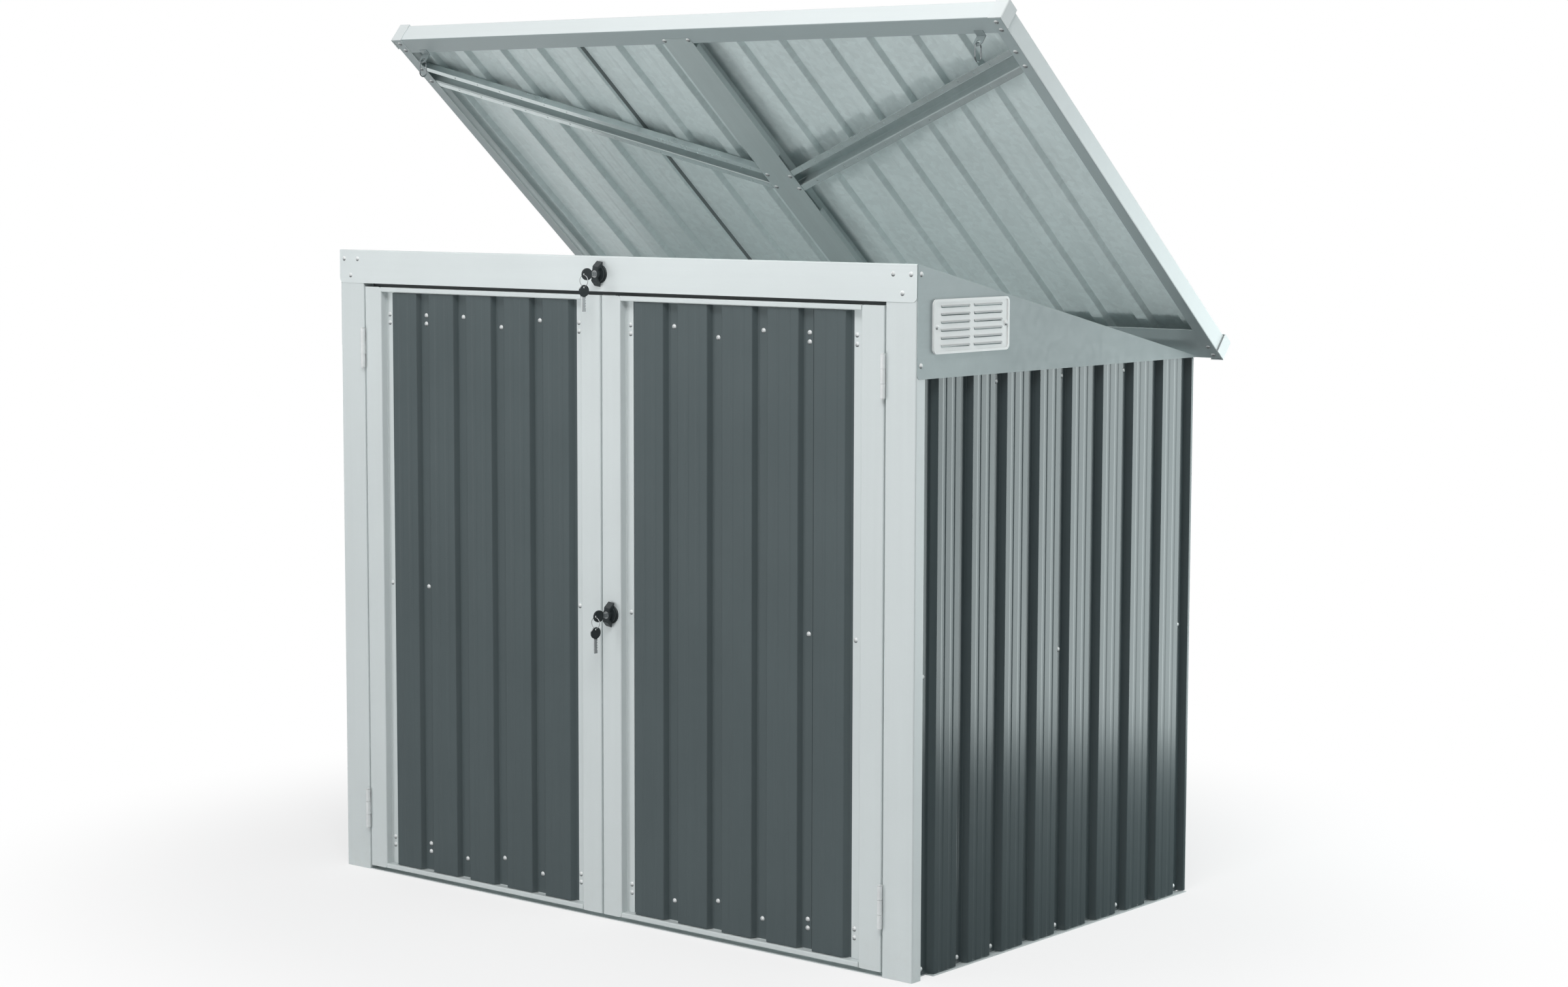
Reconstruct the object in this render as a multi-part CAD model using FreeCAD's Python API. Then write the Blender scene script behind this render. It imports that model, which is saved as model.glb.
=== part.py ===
import FreeCAD, Part
import math
import os
from FreeCAD import Vector, Rotation, Placement

# Wheelie bin store: a steel store for two wheeled bins, with two front doors and a lifting lid.
# Millimetres. X to the right seen from the front, Y to the back, Z up.
# The origin is on the ground, at the middle of the body's footprint.
# The model is drawn as it stands in use: doors shut, lid propped open, keys in both locks.

# Driving sizes of the body
BODY_WIDTH = 1500.0
BODY_DEPTH = 935.0
FRONT_HEIGHT = 1300.0
REAR_HEIGHT = 1096.0
FRAME_GAUGE = 1.2
SHEET_GAUGE = 0.6
BEND = 1.6

# Ribbed sheet: flat raised ribs, sloping sides and narrow troughs
RIB_DEPTH = 12.0
TROUGH_HALF = 13.0
LAP_HALF = 11.2
SLOPE_RUN = 5.7
GROOVE_OUT = 13.7
GROOVE_HALF = 6.3
GROOVE_EASE = 3.5
GROOVE_DEPTH = 0.5
GROOVED_RIB = 50.0
SHEET_BEND = 2.0

# Front frame
POST_WIDTH = 70.0
POST_SIDE = 29.5
STEP = 16.0
HEADER_HEIGHT = 69.0
STOP_DROP = 14.0
STOP_GAP = 0.6
HEADER_FOLD = 30.0
HEADER_CORNER = 10.0
LOOP_NOTCH = 15.0
HEADER_LOCK_X = -13.0
HEADER_LOCK_Z = 1265.0

# Doors
DOOR_BOTTOM = 9.0
DOOR_TOP = 1224.0
DOOR_DEPTH = 25.3
DOOR_LIP = 10.0
RETURN_LIP = 14.0
LEFT_DOOR = (-676.5, -15.2)
RIGHT_DOOR = (-11.2, 676.8)
LEFT_STILES = (48.0, 51.0)
RIGHT_STILES = (49.0, 51.8)
LEFT_FLANGES = (20.0, 25.0)
RIGHT_FLANGES = (20.0, 28.0)
LEFT_TROUGHS = (-619.0, -85.8)
RIGHT_TROUGHS = (50.5, 603.4)
DOOR_RIBS = 5
CROSS_FLANGE = 74.0
DOOR_ROWS_TOP = (1168.5, 1151.5)
DOOR_ROWS_LOW = (75.0, 58.5)
DOOR_ROW_MID = 612.0
DOOR_LOCK_Z = 606.0
DOOR_HINGE_Z = (131.0, 1098.0)
DOOR_HINGE_LENGTH = 80.0
DOOR_PIN_OUT = 5.5
DOOR_KNUCKLE_R = 4.5
DOOR_PIN_R = 2.2

# Side and rear walls
SIDE_TROUGH_FIRST = -411.8
POST_SCREW_Y = -417.0
SIDE_TROUGHS = 9
SIDE_PITCH = 106.5
REAR_PITCH = 107.0
REAR_TROUGHS = 14
WALL_BOTTOM = 3.0
WALL_TOP = 1095.0
WALL_ROW_LOW = 14.0
WALL_ROW_MID = 553.0
WALL_ROW_TOP = 1078.0
GABLE_BOTTOM = 1094.0
GABLE_FOLD = 22.0
RAIL_DEPTH = 20.0
BASE_WIDTH = 40.0
BASE_HEIGHT = 35.0
FOOT_BACK = 2.0
ANCHOR_R = 5.0
ANCHOR_Y = 380.0

# Vent in each gable
VENT_Y = -304.7
VENT_Z = 1186.2
VENT_LENGTH = 232.0
VENT_HEIGHT = 98.0
VENT_CORNER = 10.0
VENT_RIM = 4.5
VENT_THICK = 4.0
LOUVRE_PITCH = 14.2
LOUVRE_LENGTH = 86.0
LOUVRE_SLOT = 4.4
LOUVRE_OFFSET = 50.0
VENT_SCREW = 106.2

# Lid, drawn lying flat with its rear bottom edge on Y 0, then turned open and moved to its hinge
LID_WIDTH = 1580.0
LID_DEPTH = 1013.0
LID_RAIL_HEIGHT = 41.0
LID_TOP_FLANGE = 22.0
LID_FRONT_FLANGE = 41.0
LID_SIDE_FLANGE = 27.0
LID_SIDE_END = 3.2
LID_REAR_FLANGE = 93.0
LID_SHEET_LEVEL = 25.0
LID_OPEN_DEG = 39.7
LID_REAR_EDGE = (502.0, 1089.3)
LID_PITCH = 106.8
LID_RIGHT_FIRST = -329.3
LID_LEFT_LAST = -336.0
LID_RIGHT_TROUGHS = 11
LID_LEFT_TROUGHS = 5
STRUT_X = -6.0
STRUT_WIDTH = 74.0
STRUT_SCREW = 31.0
STRUT_FRONT = -987.0
STRUT_REAR = -24.0
STRUT_LIP = 12.0
STRUT_CHAMFER = 6.0
BRACE_OUTER = (774.0, -901.5)
BRACE_INNER = (28.5, -551.0)
BRACE_HALF = 28.0
BRACE_GROOVE = 13.0
BRACE_SCREW = 19.5
BRACE_END_IN = 8.0
BRACE_END_OUT = 784.5
CAP_LEG = 28.0
CAP_WALL = 1.6
LOOP_X = 722.0
LOOP_Y = -966.0
LOOP_TAB_DROP = 24.0
LOOP_HOLE_HEIGHT = -15.0
LOOP_HOLE_R = 5.0
LOOP_SAG = 1.0
LOOP_WIRE = 1.4
LOOP_LENGTH = 34.0
LOOP_HALF = 9.0

# Lid hinge: the knuckle stands off the rear wall
LID_PIN = (486.5, 1079.0)
LID_PIN_R = 3.0
LID_KNUCKLE_R = 6.0
LID_HINGE_X = (-500.0, 500.0)
LID_HINGE_LENGTH = 100.0
LID_LEAF = 2.0
WALL_LEAF_SCREW = 36.0

# Running clearance of a pin in its knuckles, and of a screw in its hole
PIN_CLEAR = 0.05
SCREW_CLEAR = 0.15
SCREW_HEAD_R = 5.0
SCREW_HEAD_H = 2.6
SCREW_SLOT_HALF = 2.1
SCREW_SLOT_WIDE = 0.9
SCREW_SLOT_DEEP = 1.4
SCREW_SHANK_R = 2.4
SCREW_LENGTH = 8.0

# Locks: round base, winged handle, lock barrel, keys on a wire ring
LOCK_BASE_R = 18.0
LOCK_BASE_H = 3.0
LOCK_BARREL_R = 9.0
LOCK_BARREL_LENGTH = 24.0
WING_BACK = 26.0
WING_FRONT = 14.5
WING_HALF = 7.0
WING_FACE = 15.6
WING_LEAN = 8.0
CYLINDER_R = 7.2
KEY_BOW_OUT = 37.0
KEY_BOW_LONG = 14.0
KEY_BOW_HIGH = 11.5
KEY_THICK = 2.6
KEY_HOLE_OUT = 45.5
KEY_HOLE_R = 2.6
RING_R = 10.5
RING_WIRE = 0.7
SPARE_BLADE = 30.0
CAM_LENGTH = 50.0
CAM_WIDTH = 16.0
CAM_THICK = 3.0

# Places worked out from the sizes above
HALF = BODY_WIDTH / 2
FRONT = -BODY_DEPTH / 2
BACK = BODY_DEPTH / 2
POST_OUT = HALF - FRAME_GAUGE
FACE_Y = FRONT + FRAME_GAUGE
POST_IN = HALF - POST_WIDTH
SLOPE = math.atan2(FRONT_HEIGHT - REAR_HEIGHT, BODY_DEPTH)
SIDE_TROUGH_X = POST_OUT - STEP - FRAME_GAUGE
SIDE_RAIL_X = SIDE_TROUGH_X - SHEET_GAUGE
REAR_TROUGH_Y = BACK - FRAME_GAUGE - RIB_DEPTH
REAR_RAIL_Y = REAR_TROUGH_Y - SHEET_GAUGE
TOP_RAIL_Y = BACK + 1.0
DOOR_FLANGE_Y = FACE_Y + STEP
DOOR_TROUGH_Y = DOOR_FLANGE_Y + FRAME_GAUGE
DOOR_RAIL_Y = DOOR_TROUGH_Y + SHEET_GAUGE
DOOR_BACK_Y = FACE_Y + DOOR_DEPTH
STOP_Y = DOOR_BACK_Y + STOP_GAP
CAM_Y = STOP_Y + FRAME_GAUGE + 0.6
LEFT_PIN = ((LEFT_DOOR[0] - POST_IN) / 2, FACE_Y - DOOR_PIN_OUT)
RIGHT_PIN = ((RIGHT_DOOR[1] + POST_IN) / 2, FACE_Y - DOOR_PIN_OUT)
DOOR_LOCK_X = RIGHT_DOOR[0] + RIGHT_STILES[0] / 2

X_AXIS = Vector(1, 0, 0)
Y_AXIS = Vector(0, 1, 0)
Z_AXIS = Vector(0, 0, 1)


def roof_z(y):
    """Height of the sloping top edge of the body at depth y."""
    return FRONT_HEIGHT - (y - FRONT) * math.tan(SLOPE)


def block(x, y, z):
    """Box from three (low, high) pairs."""
    return Part.makeBox(x[1] - x[0], y[1] - y[0], z[1] - z[0], Vector(x[0], y[0], z[0]))


def rod(start, direction, radius, length):
    return Part.makeCylinder(radius, length, Vector(*start), direction)


def mirrored(shape):
    """The same shape on the other side of the middle plane."""
    return shape.mirror(Vector(0, 0, 0), X_AXIS)


def joined(shapes):
    """One solid from overlapping shapes."""
    first = shapes[0]
    return first.fuse(shapes[1:]).removeSplitter()


def side_line(points, offset):
    """The open line moved to its left by offset, with mitred corners."""
    moved = []
    last = len(points) - 1
    for i, (px, py) in enumerate(points):
        before = points[max(i - 1, 0)]
        after = points[min(i + 1, last)]
        a = Vector(px - before[0], py - before[1], 0)
        b = Vector(after[0] - px, after[1] - py, 0)
        if i == 0:
            a = b
        if i == last:
            b = a
        a.normalize()
        b.normalize()
        left = Vector(-a.y - b.y, a.x + b.x, 0)
        left.multiply(offset / (1 + a.dot(b)))
        moved.append((px + left.x, py + left.y))
    return moved


def turn_at(points, i):
    """Signed turn of the line at point i, positive to the left."""
    a = Vector(points[i][0] - points[i - 1][0], points[i][1] - points[i - 1][1], 0)
    b = Vector(points[i + 1][0] - points[i][0], points[i + 1][1] - points[i][1], 0)
    return math.atan2(a.x * b.y - a.y * b.x, a.dot(b))


def rounded_edges(points, radii):
    """Lines along the points, with an arc of the given radius at each inner point."""
    edges = []
    start = Vector(points[0][0], points[0][1], 0)
    for i in range(1, len(points) - 1):
        corner = Vector(points[i][0], points[i][1], 0)
        back = Vector(points[i - 1][0], points[i - 1][1], 0).sub(corner).normalize()
        ahead = Vector(points[i + 1][0], points[i + 1][1], 0).sub(corner).normalize()
        turn = abs(turn_at(points, i))
        reach = radii[i] * math.tan(turn / 2)
        if reach < 0.05:
            edges.append(Part.makeLine(start, corner))
            start = corner
            continue
        first = corner + back * reach
        second = corner + ahead * reach
        bisector = (back + ahead).normalize()
        middle = corner + bisector * (radii[i] / math.cos(turn / 2) - radii[i])
        edges.append(Part.makeLine(start, first))
        edges.append(Part.Arc(first, middle, second).toShape())
        start = second
    edges.append(Part.makeLine(start, Vector(points[-1][0], points[-1][1], 0)))
    return edges


def bent_strip(points, gauge, bend, length):
    """A sheet strip bent along an open line. The line is its outer face, on the right of its run."""
    inner = side_line(points, gauge)
    outer_radii = [0.0] * len(points)
    inner_radii = [0.0] * len(points)
    for i in range(1, len(points) - 1):
        turn = turn_at(points, i)
        radius = bend[i] if isinstance(bend, list) else bend
        if radius <= 0:
            continue
        outer_radii[i] = radius + gauge if turn > 0 else radius
        inner_radii[i] = radius if turn > 0 else radius + gauge
    outer = rounded_edges(points, outer_radii)
    back = rounded_edges(inner, inner_radii)
    caps = [
        Part.makeLine(outer[-1].lastVertex().Point, back[-1].lastVertex().Point),
        Part.makeLine(back[0].firstVertex().Point, outer[0].firstVertex().Point),
    ]
    wire = Part.Wire(Part.__sortEdges__(outer + back + caps))
    return Part.Face(wire).extrude(Vector(0, 0, length))


def along_x(shape, x):
    """Turns a strip drawn as (Y, Z) so that it runs along X from x."""
    shape.Placement = Placement(Vector(x, 0, 0), Rotation(Vector(1, 1, 1), 120))
    return shape


def along_z(shape, z):
    shape.Placement = Placement(Vector(0, 0, z), Rotation())
    return shape


def rib_points(first, troughs, last, low_start, lift_end, ends_high):
    """Outer line of a ribbed sheet, facing down the page. Troughs are centres along the sheet."""
    points = [(first, 0.0)]
    bends = [0.0]
    for i, centre in enumerate(troughs):
        lift = lift_end if i == len(troughs) - 1 else 0.0
        if i > 0 or not low_start:
            start = troughs[i - 1] + TROUGH_HALF + SLOPE_RUN if i > 0 else first
            end = centre - TROUGH_HALF - SLOPE_RUN
            grooves = groove_points(start, end)
            points += grooves
            bends += [0.0] * len(grooves)
            points += [(end, -RIB_DEPTH), (centre - TROUGH_HALF, -lift)]
            bends += [SHEET_BEND, SHEET_BEND]
        if i < len(troughs) - 1 or ends_high:
            points += [(centre + TROUGH_HALF, -lift), (centre + TROUGH_HALF + SLOPE_RUN, -RIB_DEPTH)]
            bends += [SHEET_BEND, SHEET_BEND]
    points.append((last, -RIB_DEPTH if ends_high else -lift_end))
    bends.append(0.0)
    if not low_start:
        points[0] = (first, -RIB_DEPTH)
    return points, bends


def groove_points(start, end):
    """Two shallow grooves along a rib's flat top, as a line between start and end. A narrow rib has none."""
    if end - start < GROOVED_RIB:
        return []
    points = []
    for side in (-1, 1):
        middle = (start + end) / 2 + side * GROOVE_OUT
        low = GROOVE_DEPTH - RIB_DEPTH
        points.append((middle - GROOVE_HALF, -RIB_DEPTH))
        points.append((middle - GROOVE_HALF + GROOVE_EASE, low))
        points.append((middle + GROOVE_HALF - GROOVE_EASE, low))
        points.append((middle + GROOVE_HALF, -RIB_DEPTH))
    return points


def ribbed_sheet(first, troughs, last, height, low_start=True, lift_end=0.0, ends_high=False):
    """A ribbed sheet standing up, its ribs towards -Y and its trough faces on Y 0."""
    points, bends = rib_points(first, troughs, last, low_start, lift_end, ends_high)
    return bent_strip(points, SHEET_GAUGE, bends, height)


def facing(shape, turn, place):
    """Turns a standing sheet about the vertical and moves it to its wall."""
    shape.Placement = Placement(Vector(*place), Rotation(Z_AXIS, turn))
    return shape


def screw(point, direction):
    """Round-headed screw with a cross recess. The point is under its head, the direction is where
    its shank goes."""
    head_ball = (SCREW_HEAD_R ** 2 + SCREW_HEAD_H ** 2) / (2 * SCREW_HEAD_H)
    low = math.asin(max(-1.0, (head_ball - SCREW_HEAD_H) / head_ball))
    ball = Part.makeSphere(head_ball, Vector(0, 0, SCREW_HEAD_H - head_ball), Z_AXIS,
                           math.degrees(low), 90, 360)
    shank = Part.makeCylinder(SCREW_SHANK_R, SCREW_LENGTH, Vector(0, 0, -SCREW_LENGTH), Z_AXIS)
    tip = Part.makeCone(0.6, SCREW_SHANK_R, 3.0, Vector(0, 0, -SCREW_LENGTH - 3.0), Z_AXIS)
    recess = [block((-SCREW_SLOT_HALF, SCREW_SLOT_HALF), (-SCREW_SLOT_WIDE / 2, SCREW_SLOT_WIDE / 2),
                    (SCREW_HEAD_H - SCREW_SLOT_DEEP, SCREW_HEAD_H + 1)),
              block((-SCREW_SLOT_WIDE / 2, SCREW_SLOT_WIDE / 2), (-SCREW_SLOT_HALF, SCREW_SLOT_HALF),
                    (SCREW_HEAD_H - SCREW_SLOT_DEEP, SCREW_HEAD_H + 1))]
    shape = joined([ball, shank, tip]).cut(recess)
    shape.Placement = Placement(Vector(*point), Rotation(Z_AXIS, Vector(*direction).negative()))
    return shape


def holes(points, direction, reach=9.0, back=9.0):
    """Clearance holes for screws, one tool for each point."""
    way = Vector(*direction)
    radius = SCREW_SHANK_R + SCREW_CLEAR
    tools = []
    for point in points:
        start = Vector(*point) - way * back
        tools.append(Part.makeCylinder(radius, reach + back, start, way))
    return tools


def drilled(shape, tools):
    return shape.cut(tools) if tools else shape


def export(name, shapes):
    """Writes one node. A group of separate pieces becomes a compound."""
    if not isinstance(shapes, list):
        shapes = [shapes]
    solids = []
    for shape in shapes:
        solids += shape.Solids
    for solid in solids:
        if not solid.isValid() or not solid.isClosed():
            print("NOT SOUND", name)
    whole = solids[0] if len(solids) == 1 else Part.makeCompound(solids)
    whole.exportStep("parts/" + name + ".step")
    box = whole.BoundBox
    print("%-26s %2d solids  x %7.1f %7.1f  y %7.1f %7.1f  z %7.1f %7.1f" % (
        name, len(solids), box.XMin, box.XMax, box.YMin, box.YMax, box.ZMin, box.ZMax))


# Screw places on the body

def header_screws():
    places = []
    for side in (-1, 1):
        places += [(side * 737.0, FRONT, 1281.0), (side * 697.0, FRONT, 1281.0)]
        places.append((side * 718.0, FRONT, 1247.0))
    return places


def gable_screws():
    return [(HALF, -453.6, 1280.8), (HALF, -453.6, 1118.4)]


def vent_screws():
    face = HALF + VENT_THICK - 1.0
    return [(face, VENT_Y - VENT_SCREW, VENT_Z), (face, VENT_Y + VENT_SCREW, VENT_Z)]


def side_troughs():
    return [SIDE_TROUGH_FIRST + SIDE_PITCH * i for i in range(SIDE_TROUGHS)]


def rear_troughs():
    first = -REAR_PITCH * (REAR_TROUGHS - 1) / 2
    return [first + REAR_PITCH * i for i in range(REAR_TROUGHS)]


def side_screws():
    """Screws of the right wall: into the post flange, then in the troughs."""
    flange = [(SIDE_TROUGH_X, POST_SCREW_Y, z) for z in (WALL_ROW_LOW, WALL_ROW_MID)]
    low = [(SIDE_TROUGH_X, side_troughs()[i], WALL_ROW_LOW) for i in (1, 2, 4, 6, 8)]
    middle = [(SIDE_TROUGH_X, side_troughs()[i], WALL_ROW_MID) for i in (4, 8)]
    top = [(SIDE_TROUGH_X, side_troughs()[i], WALL_ROW_TOP) for i in (2, 4, 6)]
    return flange, low + middle + top


def rear_screws():
    places = []
    for i, x in enumerate(rear_troughs()):
        if i % 2 == 0 or i in (7, REAR_TROUGHS - 1):
            lift = SHEET_GAUGE if i == REAR_TROUGHS // 2 else 0.0
            places.append((x, REAR_TROUGH_Y + lift, WALL_ROW_LOW))
            places.append((x, REAR_TROUGH_Y + lift, WALL_ROW_MID))
    return places


# Body

def front_post():
    """Right front post: front face, side face, then a step in to the flange behind the wall sheet."""
    inner = POST_IN + RETURN_LIP
    points = [
        (inner, DOOR_BACK_Y + 3.0),
        (POST_IN, DOOR_BACK_Y + 3.0),
        (POST_IN, FACE_Y),
        (POST_OUT, FACE_Y),
        (POST_OUT, FRONT + POST_SIDE),
        (SIDE_RAIL_X, FRONT + POST_SIDE),
        (SIDE_RAIL_X, SIDE_TROUGH_FIRST + 9.0),
    ]
    post = along_z(bent_strip(points, FRAME_GAUGE, BEND, FRONT_HEIGHT), 0)
    over = 3.0
    cutter = block((POST_IN - 10, HALF + 10), (-20, 120), (0, 100))
    cutter.Placement = Placement(Vector(0, FRONT, FRONT_HEIGHT - over), Rotation(X_AXIS, -math.degrees(SLOPE)))
    post = post.cut(cutter)
    tools = holes([p for p in header_screws() if p[0] > 0], (0, 1, 0), reach=6.0)
    tools += holes(gable_screws(), (-1, 0, 0), reach=6.0)
    tools += holes(side_screws()[0], (-1, 0, 0), reach=6.0)
    return drilled(post, tools)


def header():
    """Fascia over the doors: folded back at the roof slope on top, with a ledge below that turns down
    behind the doors as their stop. Two notches in the fold let the lid's lugs and wire loops pass."""
    top_back = (FRONT + HEADER_FOLD * math.cos(SLOPE), FRONT_HEIGHT - HEADER_FOLD * math.sin(SLOPE))
    low = FRONT_HEIGHT - HEADER_HEIGHT
    face = along_x(bent_strip([top_back, (FRONT, FRONT_HEIGHT), (FRONT, low)],
                              FRAME_GAUGE, BEND, BODY_WIDTH), -HALF)
    for side in (-1, 1):
        x = side * HALF
        corner = block(sorted((x, x - side * HEADER_CORNER)), (FRONT - 1, FRONT + 5),
                       (low, low + HEADER_CORNER))
        round_part = rod((x - side * HEADER_CORNER, FRONT - 1, low + HEADER_CORNER), Y_AXIS,
                         HEADER_CORNER, 6)
        face = face.cut(corner.cut(round_part))
        face = face.cut(block(sorted((side * (POST_OUT - 0.2), side * (HALF + 1))),
                              (FRONT + 3.3, FRONT + 60), (low, FRONT_HEIGHT + 5)))
    ledge_half = POST_IN - 1.0
    ledge = along_x(bent_strip([(FRONT + 0.2, low), (STOP_Y, low), (STOP_Y, low - STOP_DROP)],
                               FRAME_GAUGE, BEND, 2 * ledge_half), -ledge_half)
    whole = joined([face, ledge])
    tools = holes(header_screws(), (0, 1, 0))
    for side in (-1, 1):
        notch = (side * LOOP_X - LOOP_NOTCH, side * LOOP_X + LOOP_NOTCH)
        tools.append(block(notch, (FRONT + 3.3, FRONT + 60), (FRONT_HEIGHT - 15, FRONT_HEIGHT + 5)))
    tools.append(rod((HEADER_LOCK_X, FRONT - 5, HEADER_LOCK_Z), Y_AXIS, LOCK_BARREL_R + 0.2, 20))
    return drilled(whole, tools)


def rear_post():
    """Right rear corner angle, inside the walls."""
    reach = 40.0
    points = [
        (SIDE_RAIL_X, side_troughs()[-1] - 16.0),
        (SIDE_RAIL_X, REAR_RAIL_Y),
        (SIDE_RAIL_X - reach, REAR_RAIL_Y),
    ]
    post = along_z(bent_strip(points, FRAME_GAUGE, BEND, WALL_TOP - 3.0), 0)
    tools = holes([p for p in side_screws()[1] if p[1] > 400], (-1, 0, 0))
    tools += holes([p for p in rear_screws() if p[0] > SIDE_RAIL_X - reach], (0, -1, 0))
    return drilled(post, tools)


def side_angle(z_low, z_high, leg_z, y_low, y_high, width):
    """A right-hand angle rail along the wall: an upright leg and a level leg at leg_z."""
    if leg_z > z_low:
        points = [(z_low, SIDE_RAIL_X), (z_high, SIDE_RAIL_X), (z_high, SIDE_RAIL_X - width)]
    else:
        points = [(z_low, SIDE_RAIL_X - width), (z_low, SIDE_RAIL_X), (z_high, SIDE_RAIL_X)]
    strip = bent_strip([(x, -z) for z, x in points][::-1], FRAME_GAUGE, BEND, y_high - y_low)
    strip.Placement = Placement(Vector(0, y_high, 0), Rotation(X_AXIS, 90))
    mirror_z = strip.mirror(Vector(0, 0, 0), Z_AXIS)
    return mirror_z


def side_rails(kind):
    """Right-hand rail of one kind, drilled for its wall screws. The base rail has a foot under the wall."""
    y_low = SIDE_TROUGH_FIRST + 12.0
    y_high = side_troughs()[-1] - 17.0
    if kind == "base":
        rail = side_angle(0, BASE_HEIGHT, 0, y_low, y_high, BASE_WIDTH)
        link = block((SIDE_RAIL_X - 3.0, SIDE_RAIL_X + 1.0), (y_low, y_high), (0, FRAME_GAUGE))
        foot = block((SIDE_RAIL_X + 0.3, HALF - FOOT_BACK), (y_low, BACK - FOOT_BACK), (0, FRAME_GAUGE))
        rail = joined([rail, link, foot])
    elif kind == "mid":
        rail = side_angle(WALL_ROW_MID - 22, WALL_ROW_MID + 22, 0, y_low, y_high, RAIL_DEPTH)
    else:
        rail = side_angle(WALL_ROW_TOP - 20, WALL_TOP - 3, WALL_TOP, y_low, y_high, RAIL_DEPTH)
    tools = holes(side_screws()[1], (-1, 0, 0), reach=4.0)
    if kind == "base":
        for y in (-ANCHOR_Y, ANCHOR_Y):
            tools.append(rod((SIDE_RAIL_X - BASE_WIDTH / 2, y, -1), Z_AXIS, ANCHOR_R, 5))
    return drilled(rail, tools)


def rear_rail(kind):
    """Rail across the back, between the corner angles."""
    half = SIDE_RAIL_X - 41.0
    if kind == "base":
        points = [(REAR_RAIL_Y, BASE_HEIGHT), (REAR_RAIL_Y, 0), (REAR_RAIL_Y - BASE_WIDTH, 0)]
        points = points[::-1]
    elif kind == "mid":
        points = [(REAR_RAIL_Y - RAIL_DEPTH, WALL_ROW_MID - 22), (REAR_RAIL_Y, WALL_ROW_MID - 22),
                  (REAR_RAIL_Y, WALL_ROW_MID + 22)]
    else:
        half = HALF - 22.0
        points = [(TOP_RAIL_Y, 1000.0), (TOP_RAIL_Y, REAR_HEIGHT), (BACK - 38.0, REAR_HEIGHT),
                  (BACK - 38.0, REAR_HEIGHT - 15.0)]
    rail = along_x(bent_strip(points, FRAME_GAUGE, BEND, 2 * half), -half)
    if kind == "base":
        foot = block((-half, half), (REAR_RAIL_Y - 3.0, BACK - FOOT_BACK), (0, FRAME_GAUGE))
        rail = joined([rail, foot])
    return drilled(rail, holes(rear_screws(), (0, -1, 0), reach=4.0) + holes(wall_leaf_screws(), (0, -1, 0)))


def side_wall():
    """Right wall sheet."""
    first = FRONT + POST_SIDE + 1.5
    last = BACK - FRAME_GAUGE - 1.2
    sheet = ribbed_sheet(first, side_troughs(), last, WALL_TOP - WALL_BOTTOM, ends_high=True)
    sheet = facing(sheet, 90, (SIDE_TROUGH_X, 0, WALL_BOTTOM))
    flange, trough = side_screws()
    return drilled(sheet, holes(flange + trough, (-1, 0, 0), reach=4.0, back=3.0))


def rear_walls():
    """Two rear sheets that lap in the middle trough. Drawn facing the back."""
    edge = SIDE_TROUGH_X + RIB_DEPTH
    troughs = rear_troughs()
    middle = REAR_TROUGHS // 2
    height = WALL_TOP - WALL_BOTTOM - 3.0
    screws = rear_screws()
    left_troughs = [-x for x in troughs[middle:]][::-1]
    sheets = []
    right = ribbed_sheet(-edge, left_troughs, left_troughs[-1] + LAP_HALF, height,
                         low_start=False, lift_end=SHEET_GAUGE)
    left = ribbed_sheet(left_troughs[-1] - LAP_HALF, [-x for x in troughs[:middle + 1]][::-1],
                        edge, height, ends_high=True)
    for sheet in (left, right):
        placed = facing(sheet, 180, (0, REAR_TROUGH_Y, WALL_BOTTOM))
        tools = holes(screws, (0, -1, 0), reach=4.0, back=3.0)
        tools += holes(wall_leaf_screws(), (0, -1, 0), reach=20.0)
        sheets.append(drilled(placed, tools))
    return sheets


def gable():
    """Right gable plate with a fold along its sloping top and two openings behind the vent."""
    front = FRONT + 3.5
    corner = 8.0
    outline = [
        Part.makeLine(Vector(0, front, GABLE_BOTTOM + corner), Vector(0, front, roof_z(front))),
        Part.makeLine(Vector(0, front, roof_z(front)), Vector(0, BACK, roof_z(BACK))),
        Part.makeLine(Vector(0, BACK, roof_z(BACK)), Vector(0, BACK, GABLE_BOTTOM)),
        Part.makeLine(Vector(0, BACK, GABLE_BOTTOM), Vector(0, front + corner, GABLE_BOTTOM)),
    ]
    bend = corner * (1 - math.sqrt(0.5))
    outline.append(Part.Arc(Vector(0, front + corner, GABLE_BOTTOM),
                            Vector(0, front + bend, GABLE_BOTTOM + bend),
                            Vector(0, front, GABLE_BOTTOM + corner)).toShape())
    plate = Part.Face(Part.Wire(Part.__sortEdges__(outline))).extrude(Vector(FRAME_GAUGE, 0, 0))
    plate.translate(Vector(POST_OUT, 0, 0))
    length = (BACK - front) / math.cos(SLOPE)
    fold = Part.makeBox(GABLE_FOLD, length - 45.0, FRAME_GAUGE)
    fold.Placement = Placement(Vector(POST_OUT - GABLE_FOLD + 0.6, front + 34.0, roof_z(front + 34.0)),
                               Rotation(X_AXIS, -math.degrees(SLOPE)))
    fold.translate(Vector(0, 0, -FRAME_GAUGE / math.cos(SLOPE)))
    whole = joined([plate, fold])
    tools = holes(gable_screws(), (-1, 0, 0))
    tools += holes(vent_screws(), (-1, 0, 0), reach=12.0)
    for side in (-1, 1):
        y = VENT_Y + side * LOUVRE_OFFSET
        tools.append(block((POST_OUT - 3, HALF + 3), (y - 44, y + 44), (VENT_Z - 40, VENT_Z + 40)))
    return drilled(whole, tools)


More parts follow.
